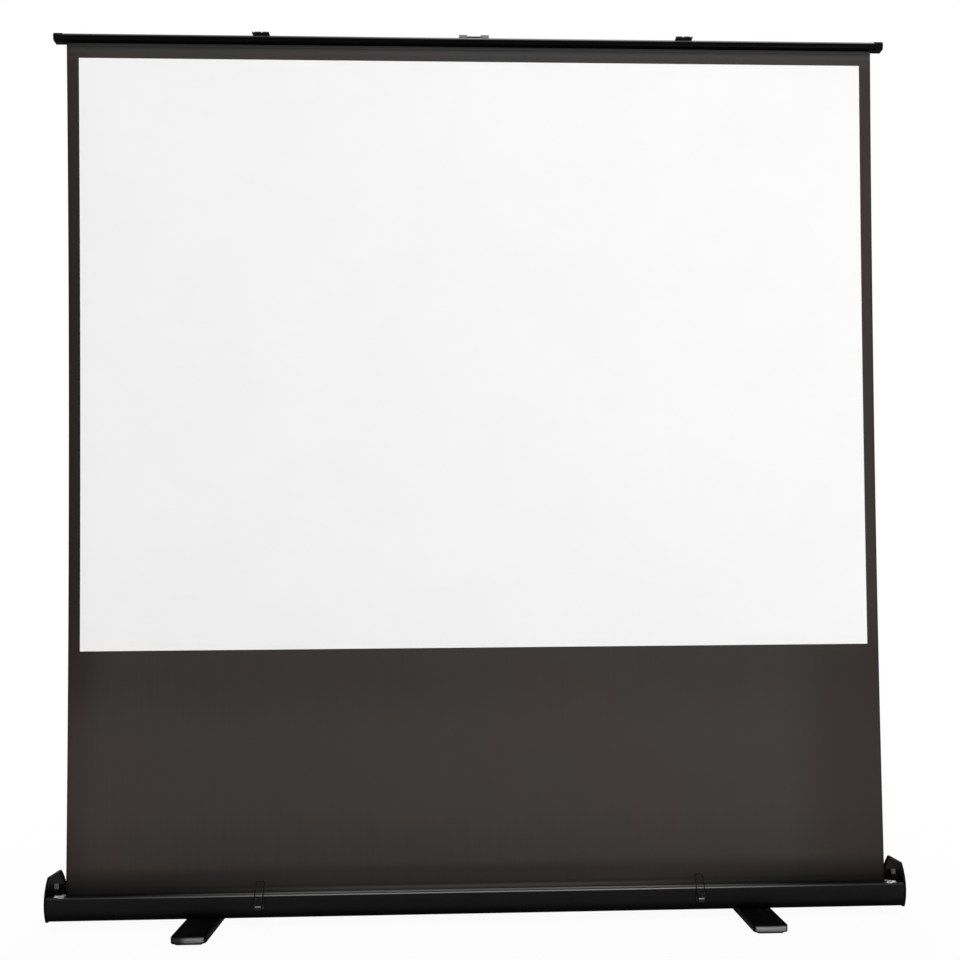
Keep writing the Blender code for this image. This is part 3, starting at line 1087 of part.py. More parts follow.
def make_latch(side, label):
    """A draw latch on the case front: riveted base with pin, over-centre lever, and wire bail."""
    x = side * LATCH_X
    wall = -wall_depth(BULGE_Z) - GAP
    face = wall - LATCH_PLATE
    top = CASE_TOP - LATCH_DROP
    half = LATCH_WIDTH / 2
    lever_y, lever_z = face - LATCH_PIN_STANDOFF, top - LATCH_PIN_DROP
    bail_y, bail_z = lever_y + BAIL_EYE_SETBACK, lever_z - BAIL_EYE_DROP
    name = f"latch_base_{label}"
    plate = rounded([(x - half, top - LATCH_HEIGHT, 0.003), (x + half, top - LATCH_HEIGHT, 0.003),
                     (x + half, top, 0.002), (x - half, top, 0.002)])
    base = slab(name, [plate], face, wall, "Y", "dark_steel")
    cheek = arc((lever_y, lever_z), LATCH_PIN_RADIUS + LATCH_CHEEK, 90, 270, 8)
    cheek += [(face + 0.0008, lever_z - LATCH_CHEEK_RISE), (face + 0.0008, lever_z + LATCH_CHEEK_RISE)]
    for edge in (-1, 1):
        ends = sorted((x + edge * LATCH_CHEEK_IN, x + edge * LATCH_CHEEK_OUT))
        join(base, slab(f"{name}_cheek_{edge}", [cheek], *ends, "X", None))
    pin_end = LATCH_CHEEK_OUT - 0.0001
    join(base, disc(name + "_pin", LATCH_PIN_RADIUS, x - pin_end, x + pin_end, "X", (lever_y, lever_z), None,
                    steps=12))

    swing = pivot(f"latch_lever_swing_{label}", (x, lever_y, lever_z))
    pin_eye, wire_eye = LATCH_PIN_RADIUS + PIVOT_PLAY, BAIL_WIRE + PIVOT_PLAY
    rim = max(pin_eye, wire_eye) + LEVER_RIM
    lean = math.degrees(math.atan2(-BAIL_EYE_DROP, BAIL_EYE_SETBACK))
    body = arc((bail_y, bail_z), rim, lean - 90, lean + 90, 7) + arc((lever_y, lever_z), rim, lean + 90, lean + 270, 7)
    lever = slab(f"latch_lever_{label}", [body], x - LEVER_WIDTH / 2, x + LEVER_WIDTH / 2, "X",
                 "black_plastic", swing)
    front, end_z = lever_y - rim, lever_z - LEVER_LENGTH
    blade = rounded([
        (front, lever_z, 0), (front, end_z + 0.005, 0.003), (front - LEVER_FLARE, end_z, 0.0006),
        (front - LEVER_FLARE + LEVER_THICKNESS, end_z - 0.0008, 0.0006),
        (front + LEVER_THICKNESS, end_z + 0.004, 0.003), (front + LEVER_THICKNESS, lever_z, 0),
    ])
    join(lever, slab(f"latch_lever_{label}_blade", [blade], x - LEVER_WIDTH / 2 + 0.0001,
                     x + LEVER_WIDTH / 2 - 0.0001, "X", None, swing))
    for i, (y, z, radius) in enumerate(((lever_y, lever_z, pin_eye), (bail_y, bail_z, wire_eye))):
        cut(lever, disc(f"latch_lever_{label}_eye_{i}", radius, x - half, x + half, "X", (y, z), None, swing,
                        steps=12))

    bail_swing = pivot(f"latch_bail_swing_{label}", (x, bail_y, bail_z), swing)
    eye, knee, crossbar = bail_path((bail_y, bail_z))
    corners = [(0.0035, *eye), (BAIL_LEG_X, *eye), (BAIL_LEG_X, *knee), (BAIL_LEG_X, *crossbar)]
    left = [(x - across, y, z) for across, y, z in corners]
    right = [(x + across, y, z) for across, y, z in reversed(corners)]
    wire(f"latch_bail_{label}", fillet_path(left + right, 0.0016, 2), BAIL_WIRE, (x, bail_y, bail_z),
         "dark_steel", bail_swing)


def make_foot(side, label):
    """A moulded foot, ribbed underneath, on a pivot bolt, with a pad under each end."""
    x = side * FOOT_X
    swing = pivot(f"foot_swing_{label}", (x, 0, FOOT_TOP))
    half_width, half_length = FOOT_WIDTH / 2, FOOT_LENGTH / 2
    outline = rounded([
        (-half_width, FOOT_BOW - half_length, 0.012), (0, -half_length, 0.25),
        (half_width, FOOT_BOW - half_length, 0.012), (half_width, half_length - FOOT_BOW, 0.012),
        (0, half_length, 0.25), (-half_width, half_length - FOOT_BOW, 0.012),
    ], 4)
    name = f"foot_{label}"
    foot = slab(name, [outline], FOOT_BOTTOM, FOOT_TOP, "Z", "black_plastic", swing, (x, 0),
                edge=FOOT_EDGE_RADIUS, edge_steps=2)
    land = PAD_LENGTH + 0.014
    rib = 0.003
    low_y, high_y = FOOT_BOSS_RADIUS + 0.006, half_length - land
    across = (half_width - FOOT_WALL - rib / 2) / 1
    for end in (-1, 1):
        for row in range(2):
            start = low_y + (high_y - low_y) * row / 2 + rib / 2
            stop = low_y + (high_y - low_y) * (row + 1) / 2 - rib / 2
            for column in (-1, 1):
                xs = sorted((column * rib / 2, column * across))
                ys = sorted((end * start, end * stop))
                low = (x + xs[0], ys[0], FOOT_BOTTOM - 0.005)
                high = (x + xs[1], ys[1], FOOT_BOTTOM + FOOT_POCKET_DEPTH)
                cut(foot, box(f"{name}_pocket_{end}_{row}_{column}", low, high, None, swing))
    head_top = FOOT_BOTTOM + BOLT_HEAD_HEIGHT + 0.0022
    cut(foot, disc(name + "_bore", BOLT_RADIUS + PIVOT_PLAY, FOOT_BOTTOM - 0.005, FOOT_TOP + 0.005, "Z", (x, 0),
                   None, swing))
    cut(foot, disc(name + "_counterbore", BOLT_HEAD_RADIUS + 0.001, FOOT_BOTTOM - 0.005, head_top, "Z", (x, 0),
                   None, swing))

    shoulder = head_top - GAP
    nut_bottom = FLOOR_TOP + GAP
    nut_top = nut_bottom + 0.0045
    end = nut_top + 0.002
    head_bottom = shoulder - BOLT_HEAD_HEIGHT
    bolt = [
        (0, end), (BOLT_RADIUS - 0.0008, end), (BOLT_RADIUS, end - 0.0008), (BOLT_RADIUS, nut_top),
        (0.0078, nut_top), (0.0078, nut_bottom), (BOLT_RADIUS, nut_bottom), (BOLT_RADIUS, shoulder),
        (BOLT_HEAD_RADIUS, shoulder), (BOLT_HEAD_RADIUS, head_bottom + 0.0012),
        (BOLT_HEAD_RADIUS - 0.002, head_bottom), (0, head_bottom),
    ]
    turned(f"foot_bolt_{label}", bolt, "Z", (x, 0, 0), "zinc_steel", None, 18)
    washer_low = FOOT_TOP + GAP
    disc(f"foot_washer_{label}", FOOT_WASHER_RADIUS, washer_low, washer_low + FOOT_WASHER_THICKNESS, "Z", (x, 0),
         "white_nylon", None, BOLT_RADIUS + PIVOT_PLAY, 24)
    pad_half = half_width - 0.010
    for end, place_name in ((-1, "front"), (1, "rear")):
        outer = end * (half_length - 0.009)
        inner = outer - end * PAD_LENGTH
        ys = sorted((inner, outer))
        pad = rounded([(-pad_half, ys[0], 0.006), (pad_half, ys[0], 0.006), (pad_half, ys[1], 0.006),
                       (-pad_half, ys[1], 0.006)])
        slab(f"foot_pad_{place_name}_{label}", [pad], 0, PAD_THICKNESS, "Z", "black_rubber", swing, (x, 0))


make_case()
make_roller_cover()
make_guide_rod()
make_roller()
make_fabric()
bar_lift = make_scissor_frame()
make_top_bar(bar_lift)
make_handle(bar_lift)
for side_sign, side_name in ((-1, "left"), (1, "right")):
    make_end_cap(side_sign, side_name)
    make_roller_bracket(side_sign, side_name)
    make_strike(side_sign, side_name, bar_lift)
    make_latch(side_sign, side_name)
    make_foot(side_sign, side_name)
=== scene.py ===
"""Dressed scene of a pull-up projector screen.

A long case stands on two swivelling feet. The sheet winds out of it, and two pairs of crossed arms
behind the sheet hold its top bar up. Metres, +Z up, and the screen faces -Y.
"""

import math

import bmesh
import bpy
from mathutils import Matrix, Vector, noise


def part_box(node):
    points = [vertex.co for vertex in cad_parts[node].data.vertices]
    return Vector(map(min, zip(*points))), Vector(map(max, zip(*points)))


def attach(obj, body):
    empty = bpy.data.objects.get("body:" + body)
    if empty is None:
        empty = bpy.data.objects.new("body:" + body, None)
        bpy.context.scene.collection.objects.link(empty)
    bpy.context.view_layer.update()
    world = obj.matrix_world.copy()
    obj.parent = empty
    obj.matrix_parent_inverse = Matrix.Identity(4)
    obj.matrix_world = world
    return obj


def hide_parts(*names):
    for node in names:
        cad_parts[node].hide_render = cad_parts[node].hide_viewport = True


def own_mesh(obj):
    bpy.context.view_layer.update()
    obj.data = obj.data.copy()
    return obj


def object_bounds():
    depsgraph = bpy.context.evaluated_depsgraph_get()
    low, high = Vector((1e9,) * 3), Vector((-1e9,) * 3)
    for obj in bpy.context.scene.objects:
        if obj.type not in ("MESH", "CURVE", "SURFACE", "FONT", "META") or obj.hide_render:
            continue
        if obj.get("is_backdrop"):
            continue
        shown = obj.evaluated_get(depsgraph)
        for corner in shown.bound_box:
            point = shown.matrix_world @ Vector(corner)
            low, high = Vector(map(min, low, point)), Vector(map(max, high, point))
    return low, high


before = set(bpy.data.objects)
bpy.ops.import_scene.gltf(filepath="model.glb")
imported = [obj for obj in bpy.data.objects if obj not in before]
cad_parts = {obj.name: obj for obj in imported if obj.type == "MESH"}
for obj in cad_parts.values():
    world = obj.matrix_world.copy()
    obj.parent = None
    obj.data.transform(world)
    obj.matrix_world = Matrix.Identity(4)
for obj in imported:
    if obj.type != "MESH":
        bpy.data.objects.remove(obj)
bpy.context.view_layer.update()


# ---- Feet ----
# Two moulded feet, textured on top and smoother round the rim. Each turns on one bolt through the
# case floor, with a slippery washer between.


def put(tree, kind, inputs=None, **settings):
    """Adds a shader node. An input takes a value, or another node's output, which is linked to it."""
    node = tree.nodes.new("ShaderNode" + kind)
    for name, value in settings.items():
        setattr(node, name, value)
    for name, value in (inputs or {}).items():
        if isinstance(value, bpy.types.NodeSocket):
            tree.links.new(value, node.inputs[name])
        else:
            node.inputs[name].default_value = value
    return node


def work(tree, operation, *values, clamp=False):
    """One step of arithmetic on values over the surface."""
    node = put(tree, "Math", dict(enumerate(values)), operation=operation, use_clamp=clamp)
    return node.outputs[0]


def product(tree, share, *others):
    """Multiplies shares, so that an effect shows only where all of them are high."""
    for other in others:
        share = work(tree, "MULTIPLY", share, other)
    return share


def fade(tree, value, low, high, out_low=0.0, out_high=1.0):
    """Maps a value from one range to another, with soft ends."""
    inputs = {"Value": value, "From Min": low, "From Max": high, "To Min": out_low, "To Max": out_high}
    return put(tree, "MapRange", inputs, interpolation_type="SMOOTHSTEP").outputs[0]


def grey(level):
    return (level, level, level)


def tint(tree, share, first, second):
    """Mixes two colours by a share from 0 to 1."""
    first, second = (
        colour if isinstance(colour, bpy.types.NodeSocket) else (*colour, 1) for colour in (first, second))
    return put(tree, "Mix", {0: share, 6: first, 7: second}, data_type="RGBA").outputs[2]


def start_group(name, inputs, outputs):
    """A node group for an effect that several materials share."""
    tree = bpy.data.node_groups.new(name, "ShaderNodeTree")
    for socket, value in inputs.items():
        kind = "NodeSocketFloat" if isinstance(value, float) else "NodeSocketVector"
        made = tree.interface.new_socket(socket, in_out="INPUT", socket_type=kind)
        made.default_value = value
    for socket in outputs:
        tree.interface.new_socket(socket, in_out="OUTPUT", socket_type="NodeSocketFloat")
    entry, end = tree.nodes.new("NodeGroupInput"), tree.nodes.new("NodeGroupOutput")
    return tree, entry.outputs, end.inputs


def use_group(tree, group, **inputs):
    """Places an effect in a material and returns its outputs."""
    return put(tree, "Group", inputs, node_tree=group).outputs


def make_moulded_grain():
    """Spark-eroded mould texture: rounded pits of one size, over slow tone changes."""
    tree, given, result = start_group("moulded_grain", {"Size": 0.0006}, ("Height", "Tone"))
    place = put(tree, "TexCoord").outputs["Object"]
    per_metre = work(tree, "DIVIDE", 1.0, given["Size"])
    pits = put(tree, "TexVoronoi", {"Vector": place, "Scale": per_metre}, feature="SMOOTH_F1")
    tree.links.new(fade(tree, pits.outputs["Distance"], 0.0, 0.8), result["Height"])
    slow = put(tree, "TexNoise", {"Vector": place, "Scale": 9.0, "Detail": 5.0, "Roughness": 0.6})
    tree.links.new(slow.outputs["Fac"], result["Tone"])
    return tree


def make_rubbed_edges():
    """Where outside edges are rubbed, broken up by noise. Reach is how far in the wear goes."""
    tree, given, result = start_group("rubbed_edges", {"Reach": 0.001, "Amount": 0.5}, ("Rub",))
    rounded = put(tree, "Bevel", {"Radius": given["Reach"]}, samples=4)
    plain = put(tree, "NewGeometry").outputs["Normal"]
    along = put(tree, "VectorMath", {0: rounded.outputs[0], 1: plain}, operation="DOT_PRODUCT")
    bend = fade(tree, along.outputs["Value"], 0.99, 0.86)
    place = put(tree, "TexCoord").outputs["Object"]
    patches = put(tree, "TexNoise", {"Vector": place, "Scale": 55.0, "Detail": 6.0, "Roughness": 0.65})
    broken = fade(tree, patches.outputs["Fac"], 0.38, 0.66)
    rub = work(tree, "MULTIPLY", product(tree, bend, broken), given["Amount"], clamp=True)
    tree.links.new(rub, result["Rub"])
    return tree


def make_settled_dust():
    """Thin dust on what faces up, with finger marks that change the gloss."""
    tree, given, result = start_group("settled_dust", {"Amount": 0.3}, ("Dust", "Marks"))
    up = put(tree, "SeparateXYZ", {0: put(tree, "NewGeometry").outputs["Normal"]}).outputs["Z"]
    place = put(tree, "TexCoord").outputs["Object"]
    fine = put(tree, "TexNoise", {"Vector": place, "Scale": 140.0, "Detail": 4.0, "Roughness": 0.7})
    drift = put(tree, "TexNoise", {"Vector": place, "Scale": 6.0, "Detail": 3.0})
    speck = fade(tree, fine.outputs["Fac"], 0.42, 0.72)
    lying = product(tree, fade(tree, up, 0.35, 1.0), fade(tree, drift.outputs["Fac"], 0.3, 0.7))
    dust = work(tree, "MULTIPLY", product(tree, lying, speck), given["Amount"], clamp=True)
    tree.links.new(dust, result["Dust"])
    smear = put(tree, "TexNoise", {"Vector": place, "Scale": 22.0, "Detail": 5.0, "Distortion": 0.8})
    tree.links.new(fade(tree, smear.outputs["Fac"], 0.35, 0.68), result["Marks"])
    return tree


MOULDED_GRAIN = make_moulded_grain()
RUBBED_EDGES = make_rubbed_edges()
SETTLED_DUST = make_settled_dust()
DUST_GREY = (0.30, 0.29, 0.27)
WEAR_REACH = 0.0012


def start_material(name, metallic=0.0, specular=0.5):
    """A Principled material with its constant values set on the shader itself."""
    material = bpy.data.materials.new(name)
    material.use_nodes = True
    shader = material.node_tree.nodes["Principled BSDF"]
    shader.inputs["Metallic"].default_value = metallic
    shader.inputs["Specular IOR Level"].default_value = specular
    return material, material.node_tree, shader.inputs


def bump(tree, height, distance):
    """A normal from a height, whose full value stands distance metres high."""
    return put(tree, "Bump", {"Height": height, "Distance": distance}).outputs["Normal"]


def moulded_plastic(name, colour, worn, roughness, pit_size, specular=0.12, rub=0.5, dust=0.3):
    """Moulded plastic: grain, rubbed edges, dust on top and finger marks.

    Returns the material, its tree, the shader's inputs and the finished colour.
    """
    material, tree, shader = start_material(name, specular=specular)
    grain = use_group(tree, MOULDED_GRAIN, Size=pit_size)
    edges = use_group(tree, RUBBED_EDGES, Reach=WEAR_REACH, Amount=rub)
    settled = use_group(tree, SETTLED_DUST, Amount=dust)
    darker = tuple(0.7 * part for part in colour)
    tone = tint(tree, grain["Tone"], darker, tuple(1.3 * part for part in colour))
    tone = tint(tree, edges["Rub"], tone, worn)
    tone = tint(tree, settled["Dust"], tone, DUST_GREY)
    tree.links.new(tone, shader["Base Color"])
    gloss = work(tree, "MULTIPLY_ADD", grain["Height"], 0.10, roughness - 0.05)
    gloss = work(tree, "MULTIPLY_ADD", settled["Marks"], -0.08, gloss)
    tree.links.new(gloss, shader["Roughness"])
    tree.links.new(bump(tree, grain["Height"], 0.25 * pit_size), shader["Normal"])
    return material, tree, shader, tone


def dress(material, *names, crisp=32):
    """Gives modelled nodes a finish, smooth shading and edges that stay crisp above an angle."""
    for name in names:
        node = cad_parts[name]
        node.data.materials.clear()
        node.data.materials.append(material)
        for face in node.data.polygons:
            face.material_index = 0
            face.use_smooth = True
        weld = node.modifiers.new("joined faces", "WELD")
        weld.merge_threshold = 0.000005
        split = node.modifiers.new("crisp edges", "EDGE_SPLIT")
        split.split_angle = math.radians(crisp)


foot_plastic, tree, shader, tone = moulded_plastic(
    "foot_plastic", (0.0015, 0.0015, 0.0016), grey(0.04), roughness=0.50, pit_size=0.0008,
    specular=0.035, rub=0.5, dust=0.006)

# Painted highlight on the front faces of the noses, broken by scuff streaks; weaker at their rims and on
# the left foot, with painted shade at the left foot's outer end
NOSE_HIGHLIGHT_GREY = (0.32, 0.32, 0.315)
NOSE_TOP, NOSE_FOOT, NOSE_RIM = 0.0190, 0.0060, 0.0040
LEFT_NOSE_END, LEFT_NOSE_LIT = -0.724, -0.690
lying = put(tree, "TexCoord").outputs
place = put(tree, "SeparateXYZ", {0: lying["Object"]}).outputs
faces = put(tree, "SeparateXYZ", {0: lying["Normal"]}).outputs
streaked = put(tree, "VectorMath", {0: lying["Object"], 1: (9.0, 9.0, 420.0)}, operation="MULTIPLY")
streaks = put(tree, "TexNoise", {"Vector": streaked.outputs[0], "Scale": 1.0, "Detail": 3.0}).outputs["Fac"]
nose_highlight = product(
    tree,
    fade(tree, faces["Y"], -0.72, -0.96),
    fade(tree, fade(tree, place["X"], LEFT_NOSE_END, LEFT_NOSE_LIT), 0.0, 1.0, 0.12, 1.0),
    fade(tree, place["X"], -0.5, 0.5, 0.80, 1.0),
    fade(tree, place["Z"], NOSE_TOP, NOSE_TOP - NOSE_RIM, 0.25, 1.0),
    fade(tree, place["Z"], NOSE_FOOT, NOSE_FOOT + NOSE_RIM, 0.25, 1.0),
    fade(tree, streaks, 0.3, 0.7, 0.55, 1.0))
tree.links.new(tint(tree, nose_highlight, tone, NOSE_HIGHLIGHT_GREY), shader["Base Color"])
tree.links.new(nose_highlight, shader["Metallic"])
dress(foot_plastic, "foot_left", "foot_right")

# ---- Foot pads, bolts and washers ----
# Ribbed rubber pads glued under each end of a foot. The zinc-plated bolt stands still with the
# case, and the foot turns on it against a washer of natural nylon.

SIDES = ((-1, "left"), (1, "right"))


def make_drawn_lines():
    """Fine parallel lines along X, as a die or a rolling mill leaves them."""
    inputs = {"Place": (0.0, 0.0, 0.0), "Across": 1400.0}
    tree, given, result = start_group("drawn_lines", inputs, ("Line", "Tone"))
    stretch = put(tree, "CombineXYZ", {0: 1.2, 1: given["Across"], 2: given["Across"]})
    stretched = put(tree, "VectorMath", {0: given["Place"], 1: stretch.outputs[0]}, operation="MULTIPLY")
    lines = put(tree, "TexNoise", {"Vector": stretched.outputs[0], "Scale": 1.0, "Detail": 3.0})
    tree.links.new(fade(tree, lines.outputs["Fac"], 0.3, 0.7), result["Line"])
    clouds = put(tree, "TexNoise", {"Vector": given["Place"], "Scale": 4.0, "Detail": 4.0})
    tree.links.new(clouds.outputs["Fac"], result["Tone"])
    return tree


DRAWN_LINES = make_drawn_lines()


def plated_steel(name, bright, dull, roughness, dust=0.15):
    """Zinc-plated or bare metal: rolled lines, cloudy tone and duller patches."""
    material, tree, shader = start_material(name, metallic=1.0)
    place = put(tree, "TexCoord").outputs["Object"]
    rolled = use_group(tree, DRAWN_LINES, Place=place, Across=2200.0)
    settled = use_group(tree, SETTLED_DUST, Amount=dust)
    crystal = put(tree, "TexVoronoi", {"Vector": place, "Scale": 260.0})
    grain = put(tree, "SeparateColor", {0: crystal.outputs["Color"]}).outputs[0]
    slow = work(tree, "MULTIPLY", rolled["Tone"], 0.9)
    cloud = work(tree, "MULTIPLY_ADD", grain, 0.35, slow, clamp=True)
    tone = tint(tree, cloud, dull, bright)
    tree.links.new(tint(tree, settled["Dust"], tone, DUST_GREY), shader["Base Color"])
    gloss = work(tree, "MULTIPLY_ADD", rolled["Line"], 0.12, roughness - 0.06)
    tree.links.new(work(tree, "MULTIPLY_ADD", settled["Marks"], 0.10, gloss), shader["Roughness"])
    tree.links.new(bump(tree, rolled["Line"], 0.00002), shader["Normal"])
    return material


def soft_rubber(name, colour, roughness=0.82):
    """Black rubber with a powdery bloom in its low places."""
    material, tree, shader = start_material(name, specular=0.15)
    grain = use_group(tree, MOULDED_GRAIN, Size=0.0004)
    settled = use_group(tree, SETTLED_DUST, Amount=0.35)
    tone = tint(tree, grain["Tone"], colour, tuple(2.2 * part for part in colour))
    tree.links.new(tint(tree, settled["Dust"], tone, DUST_GREY), shader["Base Color"])
    tree.links.new(work(tree, "MULTIPLY_ADD", grain["Tone"], 0.14, roughness - 0.07), shader["Roughness"])
    tree.links.new(bump(tree, grain["Height"], 0.00008), shader["Normal"])
    return material


zinc = plated_steel("zinc_plating", (0.54, 0.54, 0.51), grey(0.30), roughness=0.36)
rubber = soft_rubber("pad_rubber", grey(0.007))
nylon = moulded_plastic(
    "natural_nylon", (0.66, 0.63, 0.54), (0.78, 0.76, 0.70), roughness=0.45, pit_size=0.0005,
    specular=0.5, rub=0.3, dust=0.2)[0]
for _, side in SIDES:
    dress(rubber, f"foot_pad_front_{side}", f"foot_pad_rear_{side}")
    dress(zinc, f"foot_bolt_{side}")
    dress(nylon, f"foot_washer_{side}")

# ---- Case ----
# A black anodised aluminium extrusion with barrel-shaped walls, and die lines run along the whole
# length. A painted highlight lies along the front lip, strongest half way along.


def anodised(name, colour, roughness, place, rub=0.6, dust=0.2, specular=0.12):
    """Black anodised aluminium: die lines, cloudy dye, and grey metal on rubbed edges.

    Returns the material, its tree, the shader's inputs and the finished colour.
    """
    material, tree, shader = start_material(name, specular=specular)
    drawn = use_group(tree, DRAWN_LINES, Place=place(tree), Across=900.0)
    edges = use_group(tree, RUBBED_EDGES, Reach=WEAR_REACH, Amount=rub)
    settled = use_group(tree, SETTLED_DUST, Amount=dust)
    dye = work(tree, "MULTIPLY_ADD", drawn["Line"], 0.25, work(tree, "MULTIPLY", drawn["Tone"], 0.75))
    tone = tint(tree, dye, tuple(0.7 * part for part in colour), tuple(1.3 * part for part in colour))
    tone = tint(tree, edges["Rub"], tone, grey(0.10))
    gloss = work(tree, "MULTIPLY_ADD", drawn["Line"], 0.10, roughness - 0.05)
    gloss = work(tree, "MULTIPLY_ADD", settled["Marks"], -0.06, gloss)
    tone = tint(tree, settled["Dust"], tone, DUST_GREY)
    tree.links.new(tone, shader["Base Color"])
    tree.links.new(gloss, shader["Roughness"])
    tree.links.new(edges["Rub"], shader["Metallic"])
    tree.links.new(bump(tree, drawn["Line"], 0.000015), shader["Normal"])
    return material, tree, shader, tone


def as_it_lies(tree):
    return put(tree, "TexCoord").outputs["Object"]


CASE_BLACK, SHADE_BLACK, LIP_HIGHLIGHT_GREY = (0.0078, 0.0079, 0.0080), grey(0.0006), grey(0.20)
LIP_HEIGHT = 0.0034
case_low, case_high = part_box("case_extrusion")
case_top = case_high.z
case_metal, tree, shader, tone = anodised(
    "case_anodising", CASE_BLACK, roughness=0.42, place=as_it_lies, rub=0.25, dust=0.02, specular=0.03)
place = put(tree, "SeparateXYZ", {0: as_it_lies(tree)}).outputs
# Painted shade: the front wall darker towards the bottom
shaded_low = fade(tree, place["Z"], case_low.z + 0.030, case_low.z + 0.004)
tone = tint(tree, shaded_low, tone, SHADE_BLACK)
# Painted highlight along the front lip's top, strongest half way along
on_lip = fade(tree, place["Z"], case_top - LIP_HEIGHT, case_top - 0.4 * LIP_HEIGHT)
in_front = fade(tree, place["Y"], case_low.y + 0.012, case_low.y + 0.008)
highlight_midway = fade(tree, work(tree, "ABSOLUTE", place["X"]), 1.02, 0.38, 0.10, 1.0)
lip_highlight = product(tree, on_lip, in_front, highlight_midway)
tree.links.new(tint(tree, lip_highlight, tone, LIP_HIGHLIGHT_GREY), shader["Base Color"])
tree.links.new(lip_highlight, shader["Metallic"])
dress(case_metal, "case_extrusion")

# Painted highlight on the roller's cover: greyer half way along, and brightest beside the lip there
COVER_HIGHLIGHT_GREY, COVER_HIGHLIGHT_PALE = (0.040, 0.038, 0.037), (0.26, 0.26, 0.25)
cover_metal, tree, shader, tone = anodised(
    "cover_anodising", (0.0052, 0.0052, 0.0053), roughness=0.42, place=as_it_lies, rub=0.25, dust=0.02,
    specular=0.06)
place = put(tree, "SeparateXYZ", {0: as_it_lies(tree)}).outputs
cover_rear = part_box("roller_cover")[1].y
highlight_midway = fade(tree, work(tree, "ABSOLUTE", place["X"]), 0.90, 0.30)
by_lip = fade(tree, place["Y"], cover_rear - 0.0080, cover_rear - 0.0125)
tone = tint(tree, highlight_midway, tone, COVER_HIGHLIGHT_GREY)
tree.links.new(tint(tree, product(tree, by_lip, highlight_midway), tone, COVER_HIGHLIGHT_PALE), shader["Base Color"])
dress(cover_metal, "roller_cover")


def place_piece(name, shape, material, body, centre=(0, 0, 0), facing=(0, 0, 1), bevel=0.0):
    """Puts a shape made here in its place, its own Z along facing, and lets it move with a body."""
    turn = Vector((0, 0, 1)).rotation_difference(Vector(facing)).to_matrix().to_4x4()
    shape.transform(Matrix.Translation(centre) @ turn)
    bmesh.ops.recalc_face_normals(shape, faces=shape.faces)
    mesh = bpy.data.meshes.new(name)
    shape.to_mesh(mesh)
    shape.free()
    for face in mesh.polygons:
        face.use_smooth = True
    mesh.set_sharp_from_angle(angle=math.radians(35))
    mesh.materials.append(material)
    piece = bpy.data.objects.new(name, mesh)
    bpy.context.scene.collection.objects.link(piece)
    if bevel:
        rounding = piece.modifiers.new("rounded edges", "BEVEL")
        rounding.width, rounding.segments = bevel, 3
    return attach(piece, body)


def join_rings(rings):
    """A closed shape through rings of points, where a ring of one point ends it."""
    shape = bmesh.new()
    rings = [[shape.verts.new(point) for point in ring] for ring in rings]
    count = max(len(ring) for ring in rings)
    for low, high in zip(rings, rings[1:]):
        for i in range(count):
            j = (i + 1) % count
            corners = (low[i % len(low)], low[j % len(low)], high[j % len(high)], high[i % len(high)])
            shape.faces.new(list(dict.fromkeys(corners)))
    return shape


def lathed(outline, count=40):
    """Turns an outline of (radius, height) about Z. It starts and ends on the axis."""
    rings = []
    for radius, height in outline:
        turns = [math.tau * i / count for i in range(count if radius else 1)]
        rings.append([(radius * math.cos(turn), radius * math.sin(turn), height) for turn in turns])
    return join_rings(rings)


def blind_rivet(radius, height):
    """The set head of a blind rivet, with the hollow that its pulled stem leaves."""
    sunk = 0.0003
    return lathed([(0, -sunk), (radius, -sunk), (radius, 0.25 * height), (0.86 * radius, 0.66 * height),
                   (0.62 * radius, 0.93 * height), (0.42 * radius, height), (0.33 * radius, 0.93 * height),
                   (0.30 * radius, 0.35 * height), (0, 0.30 * height)])


# A painted rivet near the front wall's right end, at a height where the wall curves back a little
FACE_RIVET_X, FACE_RIVET_Z, WALL_CURVES_BACK = 0.9775, 0.0700, 0.0012
painted_rivet = moulded_plastic(
    "painted_rivet", grey(0.0045), grey(0.14), roughness=0.34, pit_size=0.0004, specular=0.3, rub=0.9,
    dust=0.05)[0]
place_piece("case_face_rivet", blind_rivet(radius=0.0030, height=0.0010), painted_rivet,
            "case", (FACE_RIVET_X, case_low.y + WALL_CURVES_BACK, FACE_RIVET_Z), (0, -1, 0))

# ---- End caps ----
# Moulded caps close the case. Their hollow ears stand up at each end, and a cradle on each takes
# the end of the closed bar. Three cross-head screws go into the extrusion's screw ports.

cap_plastic = moulded_plastic(
    "cap_plastic", (0.0014, 0.0014, 0.0015), grey(0.03), roughness=0.50, pit_size=0.0007, specular=0.035,
    rub=0.3, dust=0.006)[0]
dress(cap_plastic, "end_cap_left", "end_cap_right")


def cross_screw(radius, height):
    """A pan head with a cross recess, standing on Z = 0."""
    arm, half = 0.60 * radius, 0.14 * radius
    corner, flank, quarter = math.atan2(half, arm), 0.45, math.pi / 2
    offsets = (-quarter / 2, -flank, -corner, 0, corner, flank)
    turns = [quarter * i + offset for i in range(4) for offset in offsets]

    def cross_reach(turn):
        off = abs((turn + quarter / 2) % quarter - quarter / 2)
        return min(arm / math.cos(off), half / max(math.sin(off), 0.001))

    def ring(share, level, reach=lambda turn: radius):
        return [(share * reach(turn) * math.cos(turn), share * reach(turn) * math.sin(turn), level)
                for turn in turns]

    return join_rings([
        [(0, 0, 0)], ring(1.0, 0), ring(1.0, 0.45 * height), ring(0.93, 0.78 * height), ring(0.78, height),
        ring(1.0, height, cross_reach), ring(0.8, 0.3 * height, cross_reach), [(0, 0, 0.25 * height)]])


